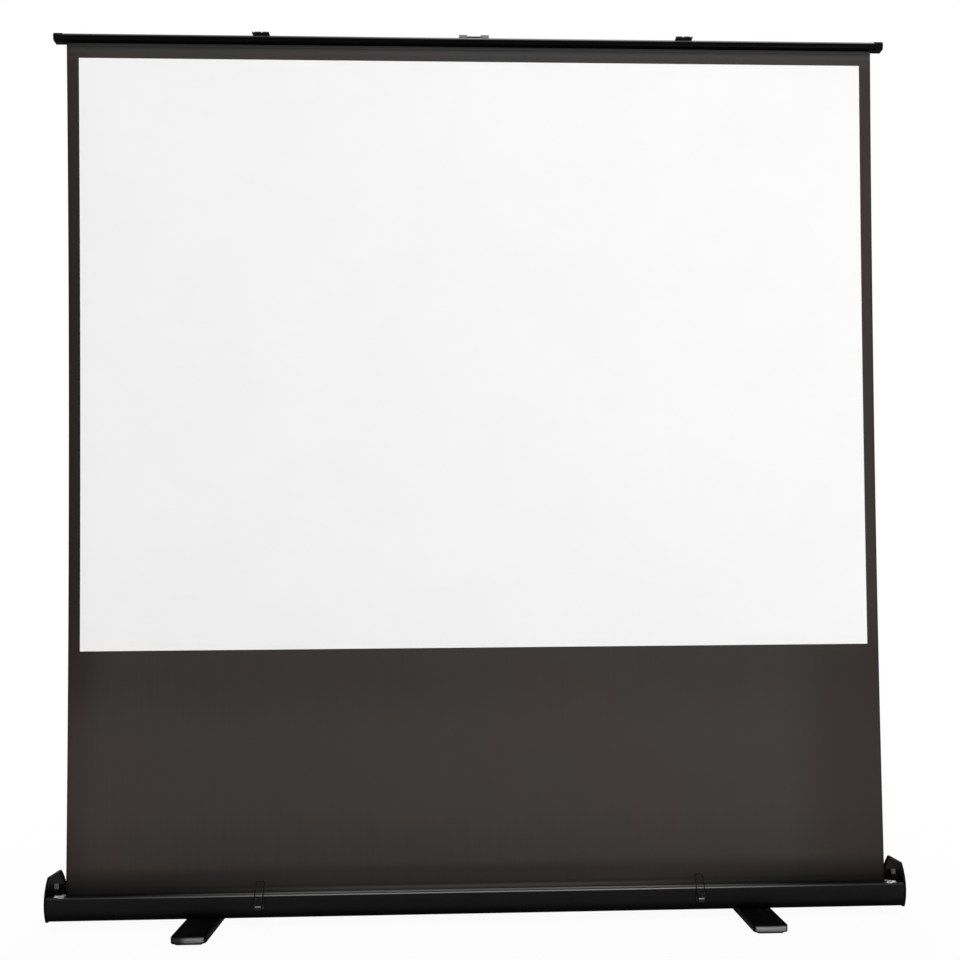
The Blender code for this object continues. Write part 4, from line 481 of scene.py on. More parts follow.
black_zinc = plated_steel(
    "black_zinc", (0.055, 0.055, 0.056), (0.022, 0.022, 0.023), roughness=0.38, dust=0.05)
SCREW_PORTS = ((0.05527, 0.07777), (0.0455, 0.02683), (-0.0130, 0.02683))
SCREW_SEAT = 1.0819
for turn, side in SIDES:
    for number, (y, z) in enumerate(SCREW_PORTS, 1):
        place_piece(f"cap_screw_{side}_{number}", cross_screw(radius=0.0037, height=0.0014), black_zinc,
                    "case", (turn * SCREW_SEAT, y, z), (turn, 0, 0))


def plate(outline, low_y, high_y):
    """A flat plate: an outline of (x, z) points between two depths."""
    shape = bmesh.new()
    rims = [[shape.verts.new((x, y, z)) for x, z in outline] for y in (low_y, high_y)]
    for i in range(len(outline)):
        j = (i + 1) % len(outline)
        shape.faces.new((rims[0][i], rims[0][j], rims[1][j], rims[1][i]))
    for rim in rims:
        shape.faces.new(rim)
    return shape


# A finger beside each cradle, with a grey rubber sleeve, steers the end of the bar as it comes down
GUIDE_FRONT, GUIDE_REAR = -0.0412, -0.0392
FINGER_TIP, FINGER_FOOT, FINGER_KNEE = 0.1115, 0.0842, 0.0985
FINGER_OUTER, BLADE_OUTER, BLADE_INNER = 1.0782, 1.0655, 1.0572
KNEE_CHAMFER, FOOT_CHAMFER = 0.0013, 0.0040
SLEEVE_WALL, SLEEVE_SKIN, SLEEVE_CHAMFER = 0.0010, 0.0009, 0.0008
SLEEVE_FOOT, SLEEVE_TOP = FINGER_KNEE + 0.0018, FINGER_TIP + 0.0014
guide_rubber = soft_rubber("guide_rubber", grey(0.045), roughness=0.6)
for turn, side in SIDES:
    finger = [(turn * x, z) for x, z in (
        (FINGER_OUTER, FINGER_FOOT), (FINGER_OUTER, FINGER_KNEE), (BLADE_OUTER + KNEE_CHAMFER, FINGER_KNEE),
        (BLADE_OUTER, FINGER_KNEE + KNEE_CHAMFER), (BLADE_OUTER, FINGER_TIP), (BLADE_INNER, FINGER_TIP),
        (BLADE_INNER, FINGER_FOOT + FOOT_CHAMFER), (BLADE_INNER + FOOT_CHAMFER, FINGER_FOOT))]
    place_piece(f"bar_guide_{side}", plate(finger, GUIDE_FRONT, GUIDE_REAR), cap_plastic,
                "case", bevel=0.0003)
    outer, inner = BLADE_OUTER + SLEEVE_WALL, BLADE_INNER - SLEEVE_WALL
    sleeve = [(turn * x, z) for x, z in (
        (outer, SLEEVE_FOOT), (outer, SLEEVE_TOP - SLEEVE_CHAMFER), (outer - SLEEVE_CHAMFER, SLEEVE_TOP),
        (inner + SLEEVE_CHAMFER, SLEEVE_TOP), (inner, SLEEVE_TOP - SLEEVE_CHAMFER), (inner, SLEEVE_FOOT))]
    place_piece(f"guide_sleeve_{side}", plate(sleeve, GUIDE_FRONT - SLEEVE_SKIN, GUIDE_REAR + SLEEVE_SKIN),
                guide_rubber, "case", bevel=0.0005)

# ---- Roller, its brackets and the guide rod ----
# Bent brackets of blackened steel carry the aluminium tube on a plug at one end and on the fixed
# spring arbor at the other. A zinc-plated clamp holds each down on the lip, and a steel rod guides
# the sheet up through the slot.

ROUND_WIRE = 63
spring_wire = plated_steel("spring_wire", (0.30, 0.29, 0.28), grey(0.16), roughness=0.33, dust=0.1)
mill_aluminium = plated_steel("mill_aluminium", grey(0.80), (0.58, 0.58, 0.59), roughness=0.34)
black_coat = moulded_plastic(
    "black_coating", (0.0035, 0.0035, 0.0036), grey(0.16), roughness=0.38, pit_size=0.0005, specular=0.2,
    rub=0.8, dust=0.03)[0]
dress(black_coat, "roller_bracket_left", "roller_bracket_right")
dress(zinc, "spring_arbor", "guide_rod")
dress(spring_wire, "roller_spring", crisp=ROUND_WIRE)
dress(mill_aluminium, "roller_tube")
dress(cap_plastic, "roller_plug")
dress(nylon, "roller_bush")


def bent_strip(path, thickness, low_y, high_y):
    """Sheet metal bent along a path of (x, z) points, with its ends cut square."""
    shape = bmesh.new()
    rows = [[shape.verts.new(point) for point in (
        (x, low_y, z), (x, high_y, z), (x, high_y, z + thickness), (x, low_y, z + thickness))]
        for x, z in path]
    for first, second in zip(rows, rows[1:]):
        for i in range(4):
            j = (i + 1) % 4
            shape.faces.new((first[i], first[j], second[j], second[i]))
    shape.faces.new(rows[0])
    shape.faces.new(rows[-1])
    return shape


# Each clamp lies on the lip, steps up onto the bracket's flange and has an upright wall behind
CLAMP_FRONT, CLAMP_REAR, CLAMP_SHEET, CLAMP_TOP = -0.0594, -0.0526, 0.0009, 0.0872
CLAMP_INNER, CLAMP_STEP, CLAMP_OUTER, CLAMP_CHAMFER = 1.0378, 1.0490, 1.0612, 0.001
clamp_foot = case_top + 0.0001
flange_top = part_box("roller_bracket_right")[1].z
bright_zinc = plated_steel("bright_zinc", (0.42, 0.42, 0.41), grey(0.26), roughness=0.30, dust=0.05)
for turn, side in SIDES:
    path = [(turn * x, z) for x, z in (
        (CLAMP_INNER, clamp_foot), (CLAMP_STEP, clamp_foot), (CLAMP_STEP + 0.0008, case_top + 0.0005),
        (CLAMP_STEP + 0.0017, flange_top - 0.0002), (CLAMP_STEP + 0.0026, flange_top + 0.0002),
        (CLAMP_OUTER, flange_top + 0.0002))]
    place_piece(f"lip_clamp_{side}", bent_strip(path, CLAMP_SHEET, CLAMP_FRONT, CLAMP_REAR), bright_zinc,
                "case", bevel=0.00025)
    wall = [(turn * x, z) for x, z in (
        (CLAMP_INNER, case_top + 0.0004), (CLAMP_STEP + 0.0002, case_top + 0.0004),
        (CLAMP_STEP + 0.0024, flange_top + 0.0005), (CLAMP_OUTER, flange_top + 0.0005),
        (CLAMP_OUTER, CLAMP_TOP - CLAMP_CHAMFER), (CLAMP_OUTER - CLAMP_CHAMFER, CLAMP_TOP),
        (CLAMP_INNER + CLAMP_CHAMFER, CLAMP_TOP), (CLAMP_INNER, CLAMP_TOP - CLAMP_CHAMFER))]
    place_piece(f"lip_clamp_wall_{side}", plate(wall, CLAMP_REAR - CLAMP_SHEET, CLAMP_REAR), bright_zinc,
                "case", bevel=0.0002)
    seat = (turn * (CLAMP_INNER + CLAMP_STEP) / 2, (CLAMP_FRONT + CLAMP_REAR) / 2, clamp_foot + CLAMP_SHEET)
    place_piece(f"clamp_screw_{side}", cross_screw(radius=0.0026, height=0.0011), bright_zinc,
                "case", seat)

# ---- Screen cloth ----
# One sheet, matt white with a printed black border and a black back. It leaves the roll, bends
# round the guide rod, stands up through the slot and ends in a loop round the rod in the top bar.

IMAGE_WIDTH, IMAGE_HEIGHT = 2.032, 1.524
TOP_BORDER = 0.0385
CLOTH_THICKNESS = 0.0004
CLOTH_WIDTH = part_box("fabric_winding")[1].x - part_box("fabric_winding")[0].x
HEAD_STRIP = 0.0065
THREADS = 1100.0
half_width = CLOTH_WIDTH / 2
rod_low, rod_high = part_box("guide_rod")
rod = (rod_low + rod_high) / 2
cloth_y = rod_low.y - 0.0005
bar_low, bar_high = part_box("top_bar")
slot_place = case_top - bar_low.z


def make_weave():
    """Plain weave over a sheet: the height of its threads, and how each thread's tone differs."""
    inputs = {"Place": (0.0, 0.0, 0.0), "Threads": THREADS}
    tree, given, result = start_group("plain_weave", inputs, ("Height", "Thread"))
    counted = put(tree, "VectorMath", {0: given["Place"], 3: given["Threads"]}, operation="SCALE")
    axes = put(tree, "SeparateXYZ", {0: counted.outputs[0]}).outputs
    waves = [work(tree, "ABSOLUTE", work(tree, "SINE", work(tree, "MULTIPLY", axes[i], math.pi)))
             for i in (0, 1)]
    cells = work(tree, "ADD", work(tree, "FLOOR", axes[0]), work(tree, "FLOOR", axes[1]))
    over = work(tree, "MULTIPLY", work(tree, "FRACT", work(tree, "MULTIPLY", cells, 0.5)), 2.0)
    height = put(tree, "Mix", {0: over, 2: waves[0], 3: waves[1]}, data_type="FLOAT").outputs[0]
    tree.links.new(height, result["Height"])
    column, drift = work(tree, "FLOOR", axes[0]), work(tree, "MULTIPLY", axes[1], 0.002)
    warp = put(tree, "CombineXYZ", {0: column, 1: drift}).outputs[0]
    threads = put(tree, "TexWhiteNoise", {"Vector": warp}, noise_dimensions="2D")
    tree.links.new(threads.outputs["Value"], result["Thread"])
    return tree


PLAIN_WEAVE = make_weave()


def cloth_black(tree, flat, clouds):
    """The black coat over the flat cloth: cloudy and streaked, with painted light and shade laid over it.

    Along counts from the bar's underside, negative towards the roll.
    """
    axes = put(tree, "SeparateXYZ", {0: flat}).outputs
    across, along = axes["X"], axes["Y"]
    off_centre = work(tree, "ABSOLUTE", across)
    streaked = put(tree, "VectorMath", {0: flat, 1: (34.0, 0.8, 1.0)}, operation="MULTIPLY").outputs[0]
    streaks = put(tree, "TexNoise", {"Vector": streaked, "Scale": 4.0, "Detail": 4.0}).outputs["Fac"]
    hue = put(tree, "TexNoise", {"Vector": flat, "Scale": 1.1, "Detail": 2.0}).outputs["Fac"]
    greenish, warm = (0.037, 0.0375, 0.033), (0.049, 0.0360, 0.0340)
    warm_or_green = tint(tree, fade(tree, hue, 0.36, 0.64), greenish, warm)
    black = tint(tree, fade(tree, clouds, 0.3, 0.7), (0.041, 0.0358, 0.0332), warm_or_green)
    shade_by_slot = product(
        tree, fade(tree, along, slot_place + 0.060, slot_place + 0.01),
        fade(tree, off_centre, 0.35, 0.98, 0.0, 0.55))
    shadow_under_bar = fade(tree, along, -0.012, -0.001, 0.0, 0.55)
    marks_and_painted_light = (
        # Streaks of the coating blade, down the cloth
        (product(tree, fade(tree, streaks, 0.3, 0.75), 0.3), (0.030, 0.029, 0.028)),
        # Painted shade on the side borders where they curl back, browner at the edges
        (fade(tree, off_centre, half_width - 0.09, half_width - 0.010, 0.0, 0.6), (0.028, 0.020, 0.017)),
        # Painted light: paler towards the right
        (fade(tree, across, -1.0, 0.9, 0.0, 0.35), (0.058, 0.054, 0.053)),
        # Painted shade: the left edge blacker down the picture's height
        (product(tree, fade(tree, across, -0.90, -1.0), fade(tree, along, 0.05, -0.75, 0.06, 0.50),
                 fade(tree, along, -1.85, -1.35)),
         (0.008, 0.0075, 0.007)),
        # The middle of the drop, a little paler
        (product(tree, fade(tree, along, -1.62, -1.80), fade(tree, along, -2.10, -1.95), 0.22),
         (0.075, 0.062, 0.058)),
        # Painted light: the top border paler towards the bar
        (product(tree, fade(tree, along, -0.030, -0.012, 0.25, 1.0), fade(tree, along, -0.050, -0.038),
                 fade(tree, across, -1.0, 0.1, 0.5, 1.0)),
         (0.070, 0.069, 0.068)),
        # The drop's right end, browner again
        (product(tree, fade(tree, across, 0.78, 0.94, 0.0, 0.45), fade(tree, along, -1.45, -1.60)),
         (0.028, 0.020, 0.017)),
        # Painted shade just above the slot, and a painted highlight in a pale line at the slot
        (fade(tree, along, slot_place + 0.075, slot_place + 0.040, 0.0, 0.45), (0.014, 0.0125, 0.012)),
        (product(tree, fade(tree, along, slot_place + 0.010, slot_place + 0.002),
                 fade(tree, off_centre, 0.85, 0.15, 0.1, 1.0)),
         (0.105, 0.096, 0.092)),
        # Painted shade at the slot's ends, and painted shadow right under the bar
        (work(tree, "MAXIMUM", shade_by_slot, shadow_under_bar), (0.005, 0.005, 0.0052)))
    for share, colour in marks_and_painted_light:
        black = tint(tree, share, black, colour)
    return black


def cloth_material(name, printed):
    """Woven cloth with a black coat, and the white picture area left open in it where printed is set."""
    material, tree, shader = start_material(name, specular=0.05)
    flat = put(tree, "Attribute", attribute_name="cloth_place").outputs["Vector"]
    weave = use_group(tree, PLAIN_WEAVE, Place=flat, Threads=THREADS)
    clouds = put(tree, "TexNoise", {"Vector": flat, "Scale": 2.6, "Detail": 4.0, "Roughness": 0.6})
    clouds = clouds.outputs["Fac"]
    black = cloth_black(tree, flat, clouds)
    if not printed:
        tree.links.new(black, shader["Base Color"])
        shader["Roughness"].default_value = 0.85
        tree.links.new(bump(tree, weave["Height"], 0.00006), shader["Normal"])
        return material
    place = put(tree, "SeparateXYZ", {0: flat}).outputs
    aside = work(tree, "LESS_THAN", work(tree, "ABSOLUTE", place["X"]), IMAGE_WIDTH / 2)
    below = work(tree, "LESS_THAN", place["Y"], -TOP_BORDER)
    above = work(tree, "GREATER_THAN", place["Y"], -TOP_BORDER - IMAGE_HEIGHT)
    picture = product(tree, aside, below, above)
    white = tint(tree, fade(tree, clouds, 0.25, 0.75), (0.900, 0.902, 0.897), (0.925, 0.925, 0.922))
    white = tint(tree, product(tree, weave["Thread"], 0.25), white, (0.86, 0.86, 0.855))
    tree.links.new(tint(tree, picture, black, white), shader["Base Color"])
    tree.links.new(work(tree, "MULTIPLY_ADD", picture, 0.08, 0.80), shader["Roughness"])
    tree.links.new(bump(tree, weave["Height"], 0.00005), shader["Normal"])
    return material


cloth_face = cloth_material("screen_cloth_face", True)
cloth_back = cloth_material("screen_cloth_back", False)


def make_cloth(name, columns, rows, shape_at, thickness, body):
    """A stretch of the sheet: shape_at gives a point from its place across and along the flat cloth.

    Along counts from the bar's underside, negative towards the roll. The face looks to the front.
    """
    mesh = bpy.data.meshes.new(name)
    points = [shape_at(across, along) for along in rows for across in columns]
    wide = len(columns)
    faces = []
    for row in range(len(rows) - 1):
        for column in range(wide - 1):
            first = row * wide + column
            faces.append((first, first + 1, first + wide + 1, first + wide))
    mesh.from_pydata(points, [], faces)
    flat = mesh.attributes.new("cloth_place", "FLOAT_VECTOR", "POINT")
    places = [(across, along, 0.0) for along in rows for across in columns]
    flat.data.foreach_set("vector", [number for place in places for number in place])
    mesh.materials.append(cloth_face)
    mesh.materials.append(cloth_back)
    for face in mesh.polygons:
        face.use_smooth = True
    cloth = bpy.data.objects.new(name, mesh)
    bpy.context.scene.collection.objects.link(cloth)
    solid = cloth.modifiers.new("thickness", "SOLIDIFY")
    solid.thickness = thickness
    solid.offset = 0
    solid.material_offset = 1
    solid.material_offset_rim = 1
    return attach(cloth, body)


def steps(start, end, count):
    return [start + (end - start) * i / count for i in range(count + 1)]


WAIST, CURL, CURL_WIDTH, WAVE = 0.004, 0.005, 0.08, 0.0011
flat_half = half_width - CURL_WIDTH
columns = steps(-half_width, -flat_half, 8) + steps(-flat_half, flat_half, 40)[1:]
columns += steps(flat_half, half_width, 8)[1:]
drop = bar_low.z - rod.z


def standing(across, along):
    """The taut sheet: drawn in between its ends, with edges that curl back and faint waves."""
    z = bar_low.z + along
    height = min(max((z - case_top) / (bar_low.z - case_top), 0), 1)
    bow = 4 * height * (1 - height)
    edge = max(0, (abs(across) - flat_half) / CURL_WIDTH)
    wave = noise.noise(Vector((across * 1.6, z * 1.1, 3.1)))
    wave += 0.4 * noise.noise(Vector((across * 7, z * 1.4, 8.2)))
    y = cloth_y + CURL * bow * edge**2 + WAVE * bow * wave
    return (across * (1 - bow * WAIST / half_width), y, z)


rows = steps(-drop, -HEAD_STRIP, 90)
sheet = make_cloth("screen_sheet", columns, rows, standing, CLOTH_THICKNESS, "case")
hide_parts("screen_fabric")
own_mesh(sheet)

# The last strip passes the bar's slot and wraps three quarters of the way round the hem rod
HEM_THICKNESS, HEM_GAP, HEM_WRAP = 0.0003, 0.00003, 0.75
hem_low, hem_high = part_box("hem_rod")
hem = (hem_low + hem_high) / 2
hem_radius = (hem_high.z - hem_low.z) / 2 + HEM_GAP + HEM_THICKNESS / 2
hem_loop = 2 * math.pi * hem_radius * HEM_WRAP
loop_start = hem.z - bar_low.z - hem_radius


def headed(across, along):
    """The sheet's last strip, up through the bar's slot and round the hem rod."""
    if along <= loop_start:
        return (across, cloth_y, bar_low.z + along)
    angle = (along - loop_start) / hem_radius - math.pi / 2
    return (across, hem.y + hem_radius * math.cos(angle), hem.z + hem_radius * math.sin(angle))


rows = [-HEAD_STRIP, -HEAD_STRIP / 2, 0.0, loop_start / 2] + steps(loop_start, loop_start + hem_loop, 16)
head = make_cloth("sheet_head", columns, rows, headed, HEM_THICKNESS, "bar")

# The roll's spare turns, as one spiral from the tube outwards, and the stretch from it to the rod
TURNS, PER_TURN = 2, 40
ROLL_GAP, LEAD_GAP = 0.0003, 0.0004
tube_low, tube_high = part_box("roller_tube")
roller = (tube_low + tube_high) / 2
inner_radius = (tube_high.z - tube_low.z) / 2 + ROLL_GAP
outer_radius = inner_radius + TURNS * CLOTH_THICKNESS
towards_rod = Vector((rod.y - roller.y, rod.z - roller.z))
rod_radius = rod.y - cloth_y
leave_radius = outer_radius + CLOTH_THICKNESS / 2 + LEAD_GAP
crossing = math.acos((leave_radius + rod_radius) / towards_rod.length)
leave = math.atan2(towards_rod.y, towards_rod.x) - crossing
outward = Vector((math.cos(leave), math.sin(leave)))
lead_start = Vector((roller.y, roller.z)) + outward * leave_radius
lead_end = Vector((rod.y, rod.z)) - outward * rod_radius
lead_length = (lead_end - lead_start).length
rod_bend = rod_radius * leave
WIND_LENGTH = 2 * math.pi * (inner_radius + outer_radius) / 2 * TURNS


def led(across, along):
    """From the roll to the rod, then round it to where the sheet stands up."""
    back = -drop - along
    if back <= rod_bend:
        angle = math.pi + back / rod_radius
        return (across, rod.y + rod_radius * math.cos(angle), rod.z + rod_radius * math.sin(angle))
    y, z = lead_end.lerp(lead_start, (back - rod_bend) / lead_length)
    return (across, y, z)


def wound(across, along):
    """The spiral on the tube, from its loose outer end inwards."""
    share = (along + drop + rod_bend + lead_length) / -WIND_LENGTH
    radius = outer_radius - CLOTH_THICKNESS / 2 - TURNS * CLOTH_THICKNESS * share
    angle = leave - 2 * math.pi * TURNS * share
    return (across, roller.y + radius * math.cos(angle), roller.z + radius * math.sin(angle))


wide_columns = steps(-half_width, half_width, 12)
bend_foot = -drop - rod_bend
lead_foot = bend_foot - lead_length
lead_rows = steps(lead_foot, bend_foot, 4) + steps(bend_foot, -drop, 4)[1:]
lead = make_cloth("sheet_lead", wide_columns, lead_rows, led, CLOTH_THICKNESS, "case")
wind_rows = steps(lead_foot - WIND_LENGTH, lead_foot, TURNS * PER_TURN)
winding = make_cloth("sheet_winding", wide_columns, wind_rows, wound, 0.9 * CLOTH_THICKNESS, "roller")
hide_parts("fabric_winding")

# ---- Scissor frame ----
# Black anodised flat bars, riveted at the elbows on nylon washers. Torsion springs at the base
# help to lift. The brackets are bent from zinc-plated strip.

for _, side in SIDES:
    for arm in (f"lower_arm_{side}", f"upper_arm_{side}"):
        low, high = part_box(arm)
        slope = math.atan2(high.z - low.z, high.x - low.x) * (1 if side == "left" else -1)

        def along_arm(tree, slope=slope):
            """The surface's place with the arm's own length turned to X."""
            turn = put(tree, "Mapping", {"Vector": as_it_lies(tree), "Rotation": (0, slope, 0)})
            return turn.outputs[0]

        arm_metal = anodised(
            f"{arm}_anodising", (0.0060, 0.0060, 0.0062), roughness=0.40, place=along_arm, rub=0.7,
            dust=0.25)[0]
        dress(arm_metal, arm)
    dress(zinc, f"base_bracket_{side}", f"top_bracket_{side}")
    dress(zinc, f"base_pin_{side}", f"elbow_pin_{side}", f"top_pin_{side}")
    dress(nylon, f"elbow_washer_{side}")
    dress(spring_wire, f"lift_spring_{side}", crisp=ROUND_WIRE)

# Rivets through the brackets' feet, into the case's floor and into the bar's rear wall
PIVOT_X, BRACKET_SHEET = 0.22, 0.0020
BASE_RIVET_OUT, BASE_RIVET_Y = 0.026, 0.017
TOP_RIVET_OUT, TOP_RIVET_Y, TOP_RIVET_Z = 0.015, 0.0003, 2.2668
PAIR = ((-1, "inner"), (1, "outer"))
steel_rivet = plated_steel("steel_rivet", (0.62, 0.62, 0.60), grey(0.34), roughness=0.34, dust=0.2)
for turn, side in SIDES:
    foot_plate_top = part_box(f"base_bracket_{side}")[0].z + BRACKET_SHEET
    for step, where in PAIR:
        x = turn * (PIVOT_X + step * BASE_RIVET_OUT)
        place_piece(f"base_rivet_{side}_{where}", blind_rivet(radius=0.0030, height=0.0009), steel_rivet,
                    "case", (x, BASE_RIVET_Y, foot_plate_top))
        x = turn * (PIVOT_X + step * TOP_RIVET_OUT)
        place_piece(f"top_rivet_{side}_{where}", blind_rivet(radius=0.0026, height=0.0010), steel_rivet,
                    "bar", (x, TOP_RIVET_Y, TOP_RIVET_Z), (0, 1, 0))

# ---- Top bar ----
# A black anodised extrusion, nearly as long as the case, with a painted highlight along its upper
# front edge. Its groove grips the hem rod, and moulded caps close its ends.

EDGE_HIGHLIGHT = (0.42, 0.44, 0.42)
bar_metal, tree, shader, tone = anodised(
    "bar_anodising", (0.0013, 0.0014, 0.0014), roughness=0.36, place=as_it_lies, rub=0.1, dust=0.02,
    specular=0.018)
place = put(tree, "SeparateXYZ", {0: as_it_lies(tree)}).outputs
# Painted highlight on the upper front edge, stronger towards the right
top_edge = fade(tree, place["Z"], bar_high.z - 0.0085, bar_high.z - 0.0004)
front_edge = fade(tree, place["Y"], bar_low.y + 0.0060, bar_low.y + 0.0030)
painted_glint = product(tree, top_edge, front_edge, fade(tree, place["X"], -0.55, 0.05, 0.35, 1.0))
tree.links.new(tint(tree, painted_glint, tone, EDGE_HIGHLIGHT), shader["Base Color"])
tree.links.new(painted_glint, shader["Metallic"])
dress(bar_metal, "top_bar")
hem_plastic = moulded_plastic(
    "hem_plastic", grey(0.20), grey(0.3), roughness=0.5, pit_size=0.0006, specular=0.4)[0]
dress(hem_plastic, "hem_rod")
dress(cap_plastic, "bar_cap_left", "bar_cap_right")

# ---- Latches and strikes ----
# Steel pressings with a black coat, riveted to the case and to the bar. A wire bail on an
# over-centre lever hooks the strike on the closed bar.

# The lever's finger tip is worn to bare metal in one band
TIP_GREY = (0.26, 0.26, 0.25)
TIP_FOOT, TIP_HEIGHT, TIP_SOFT = 0.0062, 0.0030, 0.0004
lever_coat, tree, shader, tone = moulded_plastic(
    "lever_coating", grey(0.0016), grey(0.16), roughness=0.34, pit_size=0.0005, specular=0.12, rub=0.5,
    dust=0.02)
tip_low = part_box("latch_lever_left")[0].z + TIP_FOOT
tip_high = tip_low + TIP_HEIGHT
place = put(tree, "SeparateXYZ", {0: as_it_lies(tree)}).outputs
worn_tip = product(
    tree, fade(tree, place["Z"], tip_low - TIP_SOFT, tip_low + TIP_SOFT),
    fade(tree, place["Z"], tip_high + TIP_SOFT, tip_high - TIP_SOFT))
tree.links.new(tint(tree, worn_tip, tone, TIP_GREY), shader["Base Color"])
tree.links.new(worn_tip, shader["Metallic"])
bail_wire = plated_steel("bail_wire", grey(0.012), grey(0.004), roughness=0.25, dust=0.02)
LATCH_X, LATCH_RIVET_OUT, LATCH_RIVET_Y, LATCH_RIVET_Z = 0.555, 0.0088, -0.0643, 0.0505
STRIKE_X, STRIKE_RIVET_OUT, STRIKE_RIVET_Y, STRIKE_TOP = 0.548, 0.014, -0.020, 2.2760
for turn, side in SIDES:
    dress(black_coat, f"latch_strike_{side}", f"latch_base_{side}")
    dress(bail_wire, f"latch_bail_{side}", crisp=ROUND_WIRE)
    dress(lever_coat, f"latch_lever_{side}")
    for step, where in PAIR:
        x = turn * (LATCH_X + step * LATCH_RIVET_OUT)
        place_piece(f"latch_rivet_{side}_{where}", blind_rivet(radius=0.0016, height=0.0006), painted_rivet,
                    "case", (x, LATCH_RIVET_Y, LATCH_RIVET_Z), (0, -1, 0))
        x = turn * (STRIKE_X + step * STRIKE_RIVET_OUT)
        place_piece(f"strike_rivet_{side}_{where}", blind_rivet(radius=0.0024, height=0.0009), painted_rivet,
                    "bar", (x, STRIKE_RIVET_Y, STRIKE_TOP))

# ---- Handle ----
# A black wire bail with a ribbed rubber grip pushed over its middle. Its ends turn in two grey
# moulded brackets on the bar.

grey_plastic = moulded_plastic(
    "grey_plastic", grey(0.17), grey(0.30), roughness=0.46, pit_size=0.0006, specular=0.4, rub=0.4,
    dust=0.2)[0]
dress(grey_plastic, "handle_bracket_left", "handle_bracket_right")
dress(black_coat, "handle_bail", crisp=ROUND_WIRE)

# Shares of the grip's radius and of one rib's pitch
RIB_OUTLINE = ((0.84, 0.0), (0.97, 0.18), (1.0, 0.32), (1.0, 0.58), (0.97, 0.72), (0.84, 0.9))
GRIP_RIBS, GRIP_LIP, GRIP_ROUNDING = 13, 0.0015, 0.0003
grip_low, grip_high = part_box("handle_grip")
grip = (grip_low + grip_high) / 2
radius, half = (grip_high.z - grip_low.z) / 2, (grip_high.x - grip_low.x) / 2
pitch = 2 * (half - GRIP_LIP) / GRIP_RIBS
outline = [(0, -half), (0.62 * radius, -half), (0.80 * radius, -half + GRIP_ROUNDING)]
for rib in range(GRIP_RIBS):
    start = -half + GRIP_LIP + rib * pitch
    outline += [(share * radius, start + along * pitch) for share, along in RIB_OUTLINE]
outline += [(0.80 * radius, half - GRIP_ROUNDING), (0.62 * radius, half), (0, half)]
grip_rubber = soft_rubber("grip_rubber", grey(0.006), roughness=0.7)
ribbed = place_piece("ribbed_grip", lathed(outline, count=32), grip_rubber, "handle",
                     grip, (1, 0, 0))
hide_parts("handle_grip")

# ---- Floor, light and camera ----
# A white studio: a pale floor that keeps a soft shadow, a large key light at the right, a weaker
# fill at the left, one above and one behind.

floor_mesh = bpy.data.meshes.new("studio_floor")
shape = bmesh.new()
bmesh.ops.create_circle(shape, cap_ends=True, segments=64, radius=30)
shape.to_mesh(floor_mesh)
shape.free()
floor = bpy.data.objects.new("studio_floor", floor_mesh)
floor.location.z = -0.0003
bpy.context.scene.collection.objects.link(floor)
floor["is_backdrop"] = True
floor_paint = bpy.data.materials.new("studio_floor")
floor_paint.use_nodes = True
tree = floor_paint.node_tree
tree.nodes.clear()
seen = put(tree, "LightPath").outputs
distance = put(tree, "VectorMath", {0: put(tree, "NewGeometry").outputs["Position"]}, operation="LENGTH")
lift = fade(tree, distance.outputs["Value"], 0.6, 2.6, 0.95, 1.0)
pale = put(tree, "BsdfDiffuse", {"Color": (0.9, 0.9, 0.9, 1)})
bright = put(tree, "Emission", {"Color": (1, 1, 1, 1), "Strength": 1.0})
shown = product(tree, seen["Is Camera Ray"], lift)
lifted = put(tree, "MixShader", {0: shown, 1: pale.outputs[0], 2: bright.outputs[0]})
put(tree, "OutputMaterial", {"Surface": lifted.outputs[0]})
floor_mesh.materials.append(floor_paint)

# What the camera and reflections see is white. Other light from the sky is weaker
AMBIENT = 0.5
world = bpy.data.worlds.new("studio")
bpy.context.scene.world = world
world.use_nodes = True
tree = world.node_tree
tree.nodes.clear()
seen = put(tree, "LightPath").outputs
direct = work(tree, "MAXIMUM", seen["Is Camera Ray"], seen["Is Glossy Ray"])
direct = work(tree, "MAXIMUM", direct, seen["Is Transmission Ray"])
strength = work(tree, "MULTIPLY_ADD", direct, 1 - AMBIENT, AMBIENT)
sky = put(tree, "Background", {"Color": (1, 1, 1, 1), "Strength": strength})
put(tree, "OutputWorld", {"Surface": sky.outputs[0]})


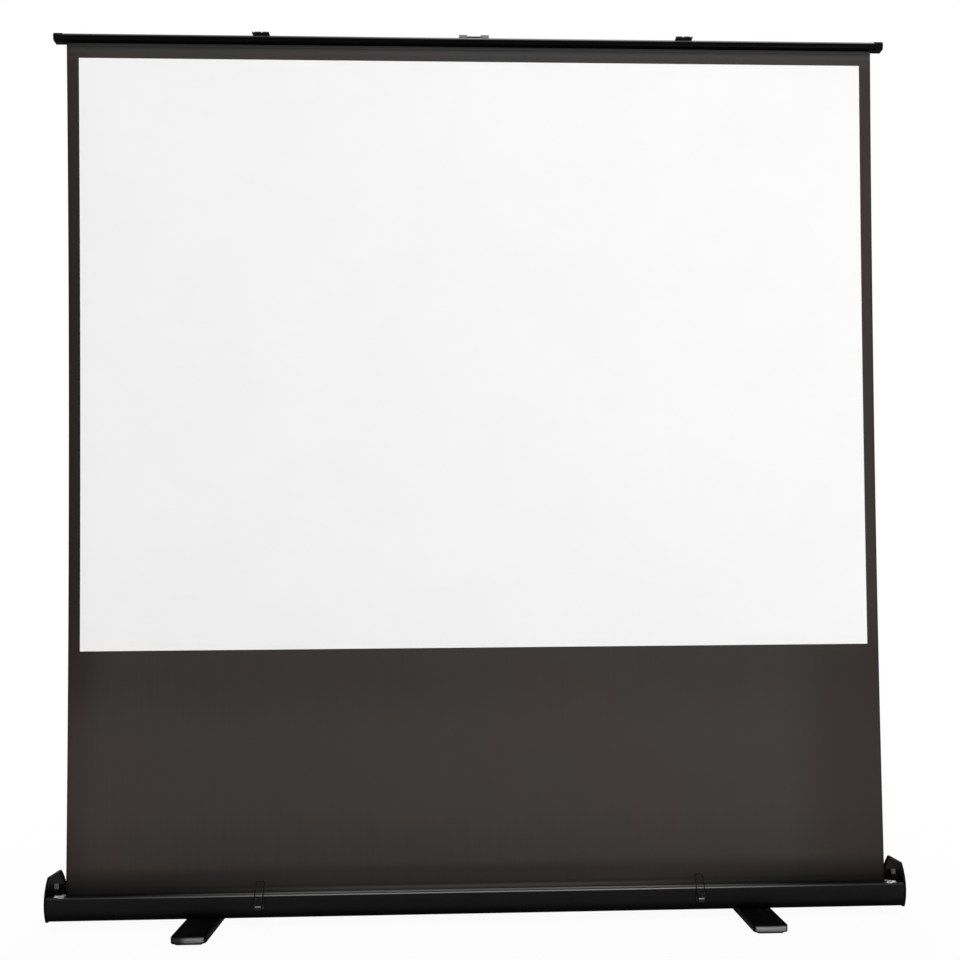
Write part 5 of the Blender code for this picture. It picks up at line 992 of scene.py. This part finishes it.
def softbox(name, place, aim, size, power):
    """A rectangular studio light."""
    lamp = bpy.data.lights.new(name, "AREA")
    lamp.shape = "RECTANGLE"
    lamp.size, lamp.size_y = size
    lamp.energy = power
    box = bpy.data.objects.new(name, lamp)
    box.location = place
    box.rotation_euler = (Vector(aim) - Vector(place)).to_track_quat("-Z", "Y").to_euler()
    bpy.context.scene.collection.objects.link(box)


softbox("key_light", place=(2.6, -5.2, 2.1), aim=(0.2, 0, 1.2), size=(1.8, 1.6), power=112)
softbox("fill_light", place=(-3.2, -5.0, 2.0), aim=(-0.1, 0, 1.1), size=(1.8, 1.4), power=33)
softbox("top_light", place=(0, -2.2, 5.2), aim=(0, 0, 0.4), size=(3.0, 1.0), power=24)
softbox("rear_light", place=(0.5, 5.0, 3.2), aim=(0, 0, 1.1), size=(2.4, 1.6), power=130)

CAMERA_PLACE = (-0.0401, -2.4279, 0.7839)
FOCAL_PIXELS, IMAGE_SIDE = 935.3, 960
OPTICAL_CENTRE = (493.49, 592.10)
YAW, PITCH, ROLL = math.radians(1.87), math.radians(1.20), math.radians(-0.50)
ahead = Vector((math.sin(YAW) * math.cos(PITCH), math.cos(YAW) * math.cos(PITCH), math.sin(PITCH)))
right = Vector((math.cos(YAW), -math.sin(YAW), 0))
upward = right.cross(ahead)
rolled_right = math.cos(ROLL) * right + math.sin(ROLL) * upward
rolled_up = math.cos(ROLL) * upward - math.sin(ROLL) * right
lens = bpy.data.cameras.new("camera")
lens.sensor_width = 36
lens.lens = lens.sensor_width * FOCAL_PIXELS / IMAGE_SIDE
lens.shift_x = (IMAGE_SIDE / 2 - OPTICAL_CENTRE[0]) / IMAGE_SIDE
lens.shift_y = (OPTICAL_CENTRE[1] - IMAGE_SIDE / 2) / IMAGE_SIDE
camera = bpy.data.objects.new("camera", lens)
turn = Matrix((rolled_right, rolled_up, -ahead)).transposed()
camera.matrix_world = Matrix.Translation(CAMERA_PLACE) @ turn.to_4x4()
bpy.context.scene.collection.objects.link(camera)
bpy.context.scene.camera = camera
bpy.context.scene.view_settings.view_transform = "Standard"

low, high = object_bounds()
